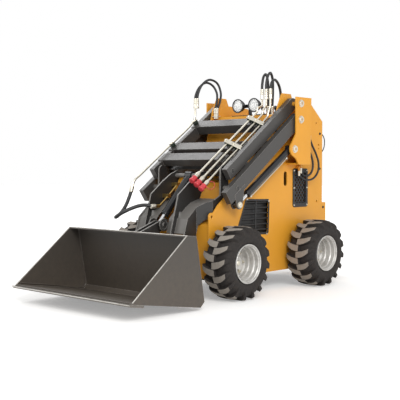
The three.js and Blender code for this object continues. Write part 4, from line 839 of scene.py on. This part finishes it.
def ferrule(name, end, inward, radius, body):
    """A crimped ferrule over the last 40 mm of a hose."""
    steps = [(-1, 0), (-1, radius + 1.5), (2, radius + 3.5), (8, radius + 3.5)]
    for run in (12, 19, 26, 33):
        steps.extend([(run - 2, radius + 3.5), (run - 1, radius + 2.4), (run + 1, radius + 2.4),
            (run + 2, radius + 3.5)])
    steps.extend([(39, radius + 2.8), (41, radius + 0.6), (41, 0)])
    made = turned(name, end, inward.normalized(), steps, zinc, 24)
    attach(made, body)


for name, points in {**boom_hoses, **far_hoses}.items():
    size = 10 if name in boom_hoses else 9
    for tag, here, there, body in (("arm", points[0], points[1], "upper_arm"), ("deck", points[-1],
            points[-2], "chassis")):
        ferrule(f"{name}_{tag}_ferrule", place(*here), place(*there) - place(*here), size, body)
for name, points in tower_hoses.items():
    for tag, here, there in (("upper", points[0], points[1]), ("lower", points[-1], points[-2])):
        ferrule(f"{name}_{tag}_ferrule", place(*here), place(*there) - place(*here), 8, "chassis")
ferrule("neck_hose_arm_ferrule", place(*neck_hose[0]), place(*neck_hose[1]) - place(*neck_hose[0]), 13,
    "upper_arm")
ferrule("neck_hose_port_ferrule", place(*neck_hose[-1]), place(*neck_hose[-2]) - place(*neck_hose[-1]), 13,
    "tilt_port")

# ---- work lamps -----------------------------------------------------------------------------
# Two round lamps in die cast housings with a rolled bezel, a bright reflector and a fluted lens,
# on one folded bracket that stands on the deck.


def lamp_glass():
    """Fluted glass over a vacuum metallised bowl: bright, with the pressed lens pattern on it."""
    material, tree, shader = new_finish("fluted_lamp_glass")
    where = add_node(tree, "ShaderNodeTexCoord").outputs["Object"]
    cells = add_node(tree, "ShaderNodeTexVoronoi", {"Vector": where, "Scale": 90.0}, feature="F1")
    tone = add_node(tree, "ShaderNodeValToRGB", {0: cells.outputs["Distance"]})
    tone.color_ramp.elements[0].color = linear("#F4F4F0")
    tone.color_ramp.elements[1].color = linear("#8F9192")
    relief = add_node(tree, "ShaderNodeBump", {"Height": cells.outputs["Distance"], "Strength": 0.6,
        "Distance": 0.003})
    shader.inputs["Metallic"].default_value = 0.5
    shader.inputs["Roughness"].default_value = 0.16
    shader.inputs["Coat Weight"].default_value = 1.0
    tree.links.new(tone.outputs[0], shader.inputs["Base Color"])
    tree.links.new(relief.outputs[0], shader.inputs["Normal"])
    return material


fluted_glass = lamp_glass()
housing = plastic("die_cast_lamp_housing", "#17181A", 0.4, 1.0)
forward = Vector((0, -1, 0))
lamp_parts = [prism("lamp_foot", [place(-150, 670, 1312.3), place(150, 670, 1312.3),
    place(150, 730, 1312.3), place(-150, 730, 1312.3)], Vector((0, 0, 0.0055)), housing), prism("lamp_post",
    [place(-14, 714, 1316), place(14, 714, 1316), place(14, 728, 1316), place(-14, 728, 1316)],
    Vector((0, 0, 0.094)), housing, 0.003), prism("lamp_bar", [place(-92, 719, 1378), place(92, 719, 1378),
    place(92, 719, 1406), place(-92, 719, 1406)], Vector((0, 0.008, 0)), housing, 0.0025)]
for number, x in enumerate((-80, 80)):
    lamp_parts.append(turned(f"lamp_can_{number}", place(x, 720, 1392), forward, ((0, 0), (0, 24), (5, 36),
        (16, 41), (20, 41), (21, 44), (25, 44), (26, 42), (34, 46), (50, 52), (52, 55), (59, 55), (61, 53),
        (61, 48), (57, 46.5), (50, 44), (50, 0)), housing, 48))
    lens = turned(f"lamp_lens_{number}", place(x, 720, 1392), forward, ((51, 0), (51, 46), (57, 46.3),
        (60, 36), (62, 20), (62.5, 0)), fluted_glass, 48, 60)
    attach(lens, "chassis")
lamps = joined("work_lamp_pair", *lamp_parts)
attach(lamps, "chassis")
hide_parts("work_lamps")

# ---- side vents -----------------------------------------------------------------------------
# A pressed louvre with a stiffening rib, and a tall expanded metal screen in a moulded frame. Both
# are screwed on over the openings in the side plates.


def frame_ring(name, outer, inner, x, depth, material):
    """A flat frame between two outlines of as many points, pushed out along X."""
    count = len(outer)
    verts = [place(x, y, z) for y, z in [*outer, *inner]]
    verts += [place(x + depth, y, z) for y, z in [*outer, *inner]]
    faces = []
    for k in range(count):
        n = (k + 1) % count
        faces.append((k, n, count + n, count + k))
        faces.append((2 * count + k, 3 * count + k, 3 * count + n, 2 * count + n))
        faces.append((k, 2 * count + k, 2 * count + n, n))
        faces.append((count + k, count + n, 3 * count + n, 3 * count + k))
    data = plain_mesh(name, verts, faces)
    shape = bmesh.new()
    shape.from_mesh(data)
    bmesh.ops.recalc_face_normals(shape, faces=shape.faces)
    sharp = [e for e in shape.edges if e.calc_face_angle(0) > 0.8]
    bmesh.ops.bevel(shape, geom=sharp, offset=0.0012, segments=2, profile=0.5, affect="EDGES",
        clamp_overlap=True)
    shape.to_mesh(data)
    shape.free()
    return finished(name, data, material, 50)


def rounded(y0, y1, z0, z1, radius, steps=5):
    """A rectangle with round corners, as (Y, Z) points."""
    points = []
    for cy, cz, turn in ((y1 - radius, z1 - radius, 0), (y0 + radius, z1 - radius, 1),
            (y0 + radius, z0 + radius, 2), (y1 - radius, z0 + radius, 3)):
        for i in range(steps + 1):
            a = math.pi / 2 * (turn + i / steps)
            points.append((cy + radius * math.cos(a), cz + radius * math.sin(a)))
    return points


def lattice_tree(material):
    """Expanded metal: rings of four strands on two staggered grids that face along X."""
    tree = bpy.data.node_groups.new("expanded_metal", "GeometryNodeTree")
    face = tree.interface
    face.new_socket("Strand", in_out="INPUT", socket_type="NodeSocketGeometry")
    for name in ("Width", "Height"):
        face.new_socket(name, in_out="INPUT", socket_type="NodeSocketFloat")
    for name in ("Columns", "Rows"):
        face.new_socket(name, in_out="INPUT", socket_type="NodeSocketInt")
    face.new_socket("Middle", in_out="INPUT", socket_type="NodeSocketVector")
    face.new_socket("Sheet", in_out="OUTPUT", socket_type="NodeSocketGeometry")
    given = add_node(tree, "NodeGroupInput")
    both = add_node(tree, "GeometryNodeJoinGeometry")
    for fewer in (0, 1):
        counts = [add_node(tree, "ShaderNodeMath", {0: given.outputs[n], 1: fewer},
            operation="SUBTRACT") for n in ("Columns", "Rows")]
        spans = [add_node(tree, "ShaderNodeMath", {0: counts[i].outputs[0], 1: 1.0},
            operation="SUBTRACT") for i in (0, 1)]
        sizes = [add_node(tree, "ShaderNodeMath", {0: spans[i].outputs[0], 1: given.outputs[n]},
            operation="MULTIPLY") for i, n in enumerate(("Width", "Height"))]
        grid = add_node(tree, "GeometryNodeMeshGrid", {"Size X": sizes[1].outputs[0],
            "Size Y": sizes[0].outputs[0], "Vertices X": counts[1].outputs[0],
            "Vertices Y": counts[0].outputs[0]})
        stood = add_node(tree, "GeometryNodeTransform", {"Geometry": grid.outputs["Mesh"],
            "Rotation": (0, math.pi / 2, 0), "Translation": given.outputs["Middle"]})
        copies = add_node(tree, "GeometryNodeInstanceOnPoints", {"Points": stood.outputs[0],
            "Instance": given.outputs["Strand"]})
        tree.links.new(copies.outputs[0], both.inputs[0])
    return painted_copies(tree, both, material)


def strand_ring(name, width, height, thin, depth, material):
    """One diamond of the lattice round the origin, square to X."""
    corners = [(0, height / 2), (width / 2, 0), (0, -height / 2), (-width / 2, 0)]
    verts = [Vector((x, y * k, z * k)) / 1000 for x in (0, depth) for k in (1, thin) for y, z in corners]
    faces = []
    for k in range(4):
        n = (k + 1) % 4
        faces.append((k, n, 4 + n, 4 + k))
        faces.append((8 + k, 12 + k, 12 + n, 8 + n))
        faces.append((4 + k, 4 + n, 12 + n, 12 + k))
        faces.append((k, 8 + k, 8 + n, n))
    data = plain_mesh(name, verts, faces)
    return finished(name, data, material, 30)


def screw_tree(material):
    """A washer and a low hexagon head at each point, facing along X."""
    tree = bpy.data.node_groups.new("screws", "GeometryNodeTree")
    face = tree.interface
    face.new_socket("Points", in_out="INPUT", socket_type="NodeSocketGeometry")
    face.new_socket("Radius", in_out="INPUT", socket_type="NodeSocketFloat")
    face.new_socket("Turn", in_out="INPUT", socket_type="NodeSocketVector")
    face.new_socket("Screws", in_out="OUTPUT", socket_type="NodeSocketGeometry")
    given = add_node(tree, "NodeGroupInput")
    wide = add_node(tree, "ShaderNodeMath", {0: given.outputs["Radius"], 1: 1.5}, operation="MULTIPLY")
    washer = add_node(tree, "GeometryNodeMeshCylinder", {"Vertices": 18, "Radius": wide.outputs[0],
        "Depth": 0.002})
    head = add_node(tree, "GeometryNodeMeshCylinder", {"Vertices": 6, "Radius": given.outputs["Radius"],
        "Depth": 0.006})
    raised = add_node(tree, "GeometryNodeTransform", {"Geometry": head.outputs["Mesh"],
        "Translation": (0, 0, 0.004)})
    both = add_node(tree, "GeometryNodeJoinGeometry", {0: washer.outputs["Mesh"]})
    tree.links.new(raised.outputs[0], both.inputs[0])
    copies = add_node(tree, "GeometryNodeInstanceOnPoints", {"Points": given.outputs["Points"],
        "Instance": both.outputs[0], "Rotation": given.outputs["Turn"]})
    return painted_copies(tree, copies, material)


def row_tree(material):
    """Copies one slat upwards at an even pitch from a first place."""
    tree = bpy.data.node_groups.new("row_of_slats", "GeometryNodeTree")
    face = tree.interface
    face.new_socket("Slat", in_out="INPUT", socket_type="NodeSocketGeometry")
    face.new_socket("Pitch", in_out="INPUT", socket_type="NodeSocketFloat")
    face.new_socket("Count", in_out="INPUT", socket_type="NodeSocketInt")
    face.new_socket("First", in_out="INPUT", socket_type="NodeSocketVector")
    face.new_socket("Slats", in_out="OUTPUT", socket_type="NodeSocketGeometry")
    given = add_node(tree, "NodeGroupInput")
    lift = add_node(tree, "ShaderNodeCombineXYZ", {2: given.outputs["Pitch"]})
    line = add_node(tree, "GeometryNodeMeshLine", {"Count": given.outputs["Count"],
        "Start Location": given.outputs["First"], "Offset": lift.outputs[0]})
    copies = add_node(tree, "GeometryNodeInstanceOnPoints", {"Points": line.outputs[0],
        "Instance": given.outputs["Slat"]})
    return painted_copies(tree, copies, material)


def screws(name, points, turn, radius, tree, body):
    """Screws at points, turned so that their heads face outwards."""
    data = bpy.data.meshes.new(name)
    data.from_pydata(points, [], [])
    made = bpy.data.objects.new(name, data)
    scene.collection.objects.link(made)
    grown(made, tree, Radius=radius, Turn=turn)
    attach(made, body)
    return made


zinc_screws = screw_tree(zinc)
black_screws = screw_tree(black_coat)
screen_lattice = lattice_tree(black_coat)
slat_row = row_tree(black_coat)
# The outer face of the side plates, and the louvre's outline on it as (y, z).
PLATE_FACE = 330
LOUVRE = ((168, 432), (508, 423), (522, 438), (532, 650), (519, 667), (276, 673), (262, 664), (160, 446))
for side, sign in SIDES:
    middle = (sum(y for y, z in LOUVRE) / 8, sum(z for y, z in LOUVRE) / 8)
    outer = [(middle[0] + (y - middle[0]) * 1.05, middle[1] + (z - middle[1]) * 1.07) for y, z in LOUVRE]
    inner = [(middle[0] + (y - middle[0]) * 0.96, middle[1] + (z - middle[1]) * 0.95) for y, z in LOUVRE]
    rim = frame_ring(f"louvre_rim_{side}", outer, inner, (PLATE_FACE + 0.1) * sign, 3 * sign, black_coat)
    rib = prism(f"louvre_rib_{side}", [place((PLATE_FACE - 1) * sign, 368, 418),
        place((PLATE_FACE - 1) * sign, 380, 418), place((PLATE_FACE - 1) * sign, 392, 680),
        place((PLATE_FACE - 1) * sign, 380, 680)], Vector((-0.006 * sign, 0, 0)), black_coat)
    # A flat black sheet set inside the opening behind the slats: painted shade that keeps the gaps between
    # them dark.
    painted_shade_sheet = prism(f"louvre_painted_shade_sheet_{side}", [place((PLATE_FACE - 26) * sign, 162, 425),
        place((PLATE_FACE - 26) * sign, 535, 425), place((PLATE_FACE - 26) * sign, 535, 670),
        place((PLATE_FACE - 26) * sign, 162, 670)], Vector((0.002 * sign, 0, 0)), black_coat)
    slat = prism(f"louvre_slats_{side}", [Vector((x * sign, y, z)) / 1000 for x, y, z in ((-6, -188, 2),
        (-5, -188, -3), (4, -188, 5), (4, -188, 11), (1, -188, 14), (-1, -188, 9))], Vector((0, 0.376, 0)),
        black_coat, 0.001)
    grown(slat, slat_row, Pitch=0.04, Count=6, First=tuple(place((PLATE_FACE - 8) * sign, 347, 446)))
    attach(slat, "chassis")
    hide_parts(f"side_louvre_{side}")
    joined(f"louvre_frame_{side}", rim, rib, painted_shade_sheet)
    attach(rim, "chassis")
    ring = frame_ring(f"screen_frame_{side}", rounded(832, 1032, 602, 902, 22),
        rounded(860, 1004, 634, 870, 16), (PLATE_FACE + 0.1) * sign, 4 * sign, black_coat)
    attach(ring, "chassis")
    lattice = strand_ring(f"expanded_screen_{side}", 36, 40, 0.62, 3, black_coat)
    grown(lattice, screen_lattice, Width=0.036, Height=0.04, Columns=5, Rows=7,
        Middle=tuple(place((PLATE_FACE - 7) * sign, 932, 752)))
    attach(lattice, "chassis")
    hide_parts(f"side_screen_{side}")
    turn = (0, math.pi / 2 * sign, 0)
    screws(f"vent_screws_{side}", [place((PLATE_FACE + 3.8) * sign, y, z) for y, z in ((846, 618),
        (1018, 618), (846, 886), (1018, 886), (846, 752),
        (1018, 752))] + [place((PLATE_FACE + 2.8) * sign, y, z) for y, z in ((506, 417), (528, 660),
        (272, 680), (186, 424))], turn, 0.0045, zinc_screws, "chassis")
    screws(f"plate_bolts_{side}", [place((PLATE_FACE + 0.6) * sign, y, z) for y, z in ((1250, 180),
        (1250, 400), (1250, 590), (1200, 900), (1200, 1180), (620, 1180), (650, 1280))], turn, 0.007,
        black_screws, "chassis")

# ---- bucket welds and bare edges ------------------------------------------------------------
# Fillet welds inside the bucket where the cheeks meet the bent floor, painted over. The paint is
# scraped off along the cheeks, the top and the lip, down to bare steel.


def weld_bead(name, points, radius, material, body):
    """A fillet weld: a low bead with the ripple of its passes."""
    route = smooth_route([place(*p) for p in points], 2)
    fine = [route[0]]
    for a, b in zip(route, route[1:]):
        count = max(1, round((b - a).length / 0.005))
        fine.extend(a.lerp(b, i / count) for i in range(1, count + 1))
    bead = tube(name, fine, radius / 1000, material, 8)
    for vertex in bead.data.vertices:
        ring = vertex.index // 8
        if ring < len(fine) and ring % 2:
            vertex.co = fine[ring] + (vertex.co - fine[ring]) * 0.8
    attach(bead, body)
    return bead


bare_edge = metal("scraped_bare_edge", "#B9B6B0", 0.35, 1.5, dirty=0.55)
for side, sign in SIDES:
    edge_x = 574.5 * sign
    corner_x = 569 * sign
    edge_line = [(edge_x, -1080, 118), (edge_x, -848, 300), (edge_x, -620, 481)]
    strip = tube(f"cheek_edge_{side}", [place(*p) for p in edge_line], 0.0042, bare_edge, 8)
    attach(strip, "bucket")
    weld_bead(f"cheek_weld_{side}", [(corner_x, -1050, 127), (corner_x, -760, 83), (corner_x, -505, 42),
        (corner_x, -478, 62), (corner_x, -500, 200), (corner_x, -530, 400), (corner_x, -545, 470)], 5,
        bucket_enamel, "bucket")

LIP_HALF = 578
top_strip = tube("bucket_top_edge", [place(-LIP_HALF, -616, 483), place(0, -616, 483),
    place(LIP_HALF, -616, 483)], 0.0035, bare_edge, 8)
lip_strip = tube("bucket_lip_edge", [place(-LIP_HALF, -1108, 110), place(0, -1108, 110),
    place(LIP_HALF, -1108, 110)], 0.004, bare_edge, 8)
for strip in (top_strip, lip_strip):
    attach(strip, "bucket")

# ---- controls and operator's end ------------------------------------------------------------
# A black console with five levers under moulded knobs, a bent tube rail, and a folded step of
# tread plate, all behind the tower.

knob_plastic = plastic("lever_knobs", "#141415", 0.3, 1.0)
for number, x in enumerate((-130, -55, 0, 55, 130)):
    low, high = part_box("control_levers")
    top = high.z * 1000 - 2
    knob = turned(f"lever_knob_{number}", place(x, 1047.5, top - 30), Vector((0, 0, 1)), ((0, 0), (0, 6),
        (6, 8), (14, 14), (24, 17), (33, 15), (38, 8), (39.5, 0)), knob_plastic, 28, 60)
    boot = turned(f"lever_boot_{number}", place(x, 1047.5, 1346.4), Vector((0, 0, 1)), ((0, 0), (0, 20),
        (3, 20), (6, 15), (9, 16.5), (12, 12), (15, 13.5), (18, 9), (22, 8), (22, 0)), knob_plastic, 28)
    for piece in (knob, boot):
        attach(piece, "chassis")

coat_nodes(gloss_black, "black", "grab_rail")
tread_steel = coated("black_tread_plate", "#232324", "#8C8A86", 0.45, edge_wear_and_highlight=0.9, dust=0.6)
coat_nodes(tread_steel, "tread", "step_platform")


def tread_tree(material):
    """Raised oval bars in two crossing directions on a grid, as rolled tread plate has."""
    tree = bpy.data.node_groups.new("tread_bars", "GeometryNodeTree")
    face = tree.interface
    face.new_socket("Bar", in_out="INPUT", socket_type="NodeSocketGeometry")
    face.new_socket("Size", in_out="INPUT", socket_type="NodeSocketVector")
    for name in ("Columns", "Rows"):
        face.new_socket(name, in_out="INPUT", socket_type="NodeSocketInt")
    face.new_socket("Middle", in_out="INPUT", socket_type="NodeSocketVector")
    face.new_socket("Bars", in_out="OUTPUT", socket_type="NodeSocketGeometry")
    given = add_node(tree, "NodeGroupInput")
    size = add_node(tree, "ShaderNodeSeparateXYZ", {0: given.outputs["Size"]})
    grid = add_node(tree, "GeometryNodeMeshGrid", {"Size X": size.outputs["X"], "Size Y": size.outputs["Y"],
        "Vertices X": given.outputs["Columns"], "Vertices Y": given.outputs["Rows"]})
    laid = add_node(tree, "GeometryNodeTransform", {"Geometry": grid.outputs["Mesh"],
        "Translation": given.outputs["Middle"]})
    order = add_node(tree, "GeometryNodeInputIndex")
    column = add_node(tree, "ShaderNodeMath", {0: order.outputs[0], 1: given.outputs["Rows"]},
        operation="DIVIDE")
    whole = add_node(tree, "ShaderNodeMath", {0: column.outputs[0]}, operation="FLOOR")
    mixed = add_node(tree, "ShaderNodeMath", {0: order.outputs[0], 1: whole.outputs[0]}, operation="ADD")
    odd = add_node(tree, "ShaderNodeMath", {0: mixed.outputs[0], 1: 2.0}, operation="FLOORED_MODULO")
    angle = add_node(tree, "ShaderNodeMath", {0: odd.outputs[0], 1: math.pi / 2, 2: math.pi / 4},
        operation="MULTIPLY_ADD")
    turn = add_node(tree, "ShaderNodeCombineXYZ", {2: angle.outputs[0]})
    copies = add_node(tree, "GeometryNodeInstanceOnPoints", {"Points": laid.outputs[0],
        "Instance": given.outputs["Bar"], "Rotation": turn.outputs[0]})
    return painted_copies(tree, copies, material)


low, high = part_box("step_platform")
bar = turned("tread_bars", Vector((-0.012, 0, 0)), Vector((1, 0, 0)), ((0, 0), (3, 1.6), (8, 2.2),
    (16, 2.2), (21, 1.6), (24, 0)), tread_steel, 6, 60)
grown(bar, tread_tree(tread_steel), Size=(0.5, 0.19, 0), Columns=21, Rows=9,
    Middle=tuple(place(0, (1318 + 1557) / 2, 215.4)))
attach(bar, "platform")

# ---- rear door ------------------------------------------------------------------------------
# The rear panel carries a black pressed vent, two tail lamps and a flush latch, all screwed on.

DOOR_FACE = 1230.2

back = Vector((0, 1, 0))
vent_slats = []
for number in range(7):
    z = 760 + number * 34
    section = [place(-150, 1230.5, z), place(-150, 1237, z), place(-150, 1241, z + 6),
        place(-150, 1231, z + 24)]
    vent_slats.append(prism(f"vent_slat_{number}", section, Vector((0.3, 0, 0)), black_coat))
rear_vent = joined("rear_vent_slats", *vent_slats)
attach(rear_vent, "chassis")
tail_red = plastic("red_lamp_lens", "#B0141C", 0.15, 2.0)
for side, sign in SIDES:
    base = turned(f"tail_lamp_base_{side}", place(240 * sign, DOOR_FACE, 980), back, ((0, 0), (0, 34),
        (8, 34), (10, 31), (10, 0)), housing)
    glass = turned(f"tail_lamp_lens_{side}", place(240 * sign, 1239, 980), back, ((0, 0), (0, 29), (7, 28),
        (11, 20), (13, 0)), tail_red, 36, 60)
    for piece, slot in ((base, "black"), (glass, "rubber")):
        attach(piece, "chassis")
latch = turned("rear_latch", place(0, DOOR_FACE, 700), back, ((0, 0), (0, 30), (4, 30), (6, 27), (6, 12),
    (14, 11), (16, 9), (16, 0)), zinc)
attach(latch, "chassis")
screws("rear_panel_bolts", [place(x, 1231, z) for x in (-296, 296) for z in (680, 820, 1240)],
    (-math.pi / 2, 0, 0), 0.007, black_screws, "chassis")
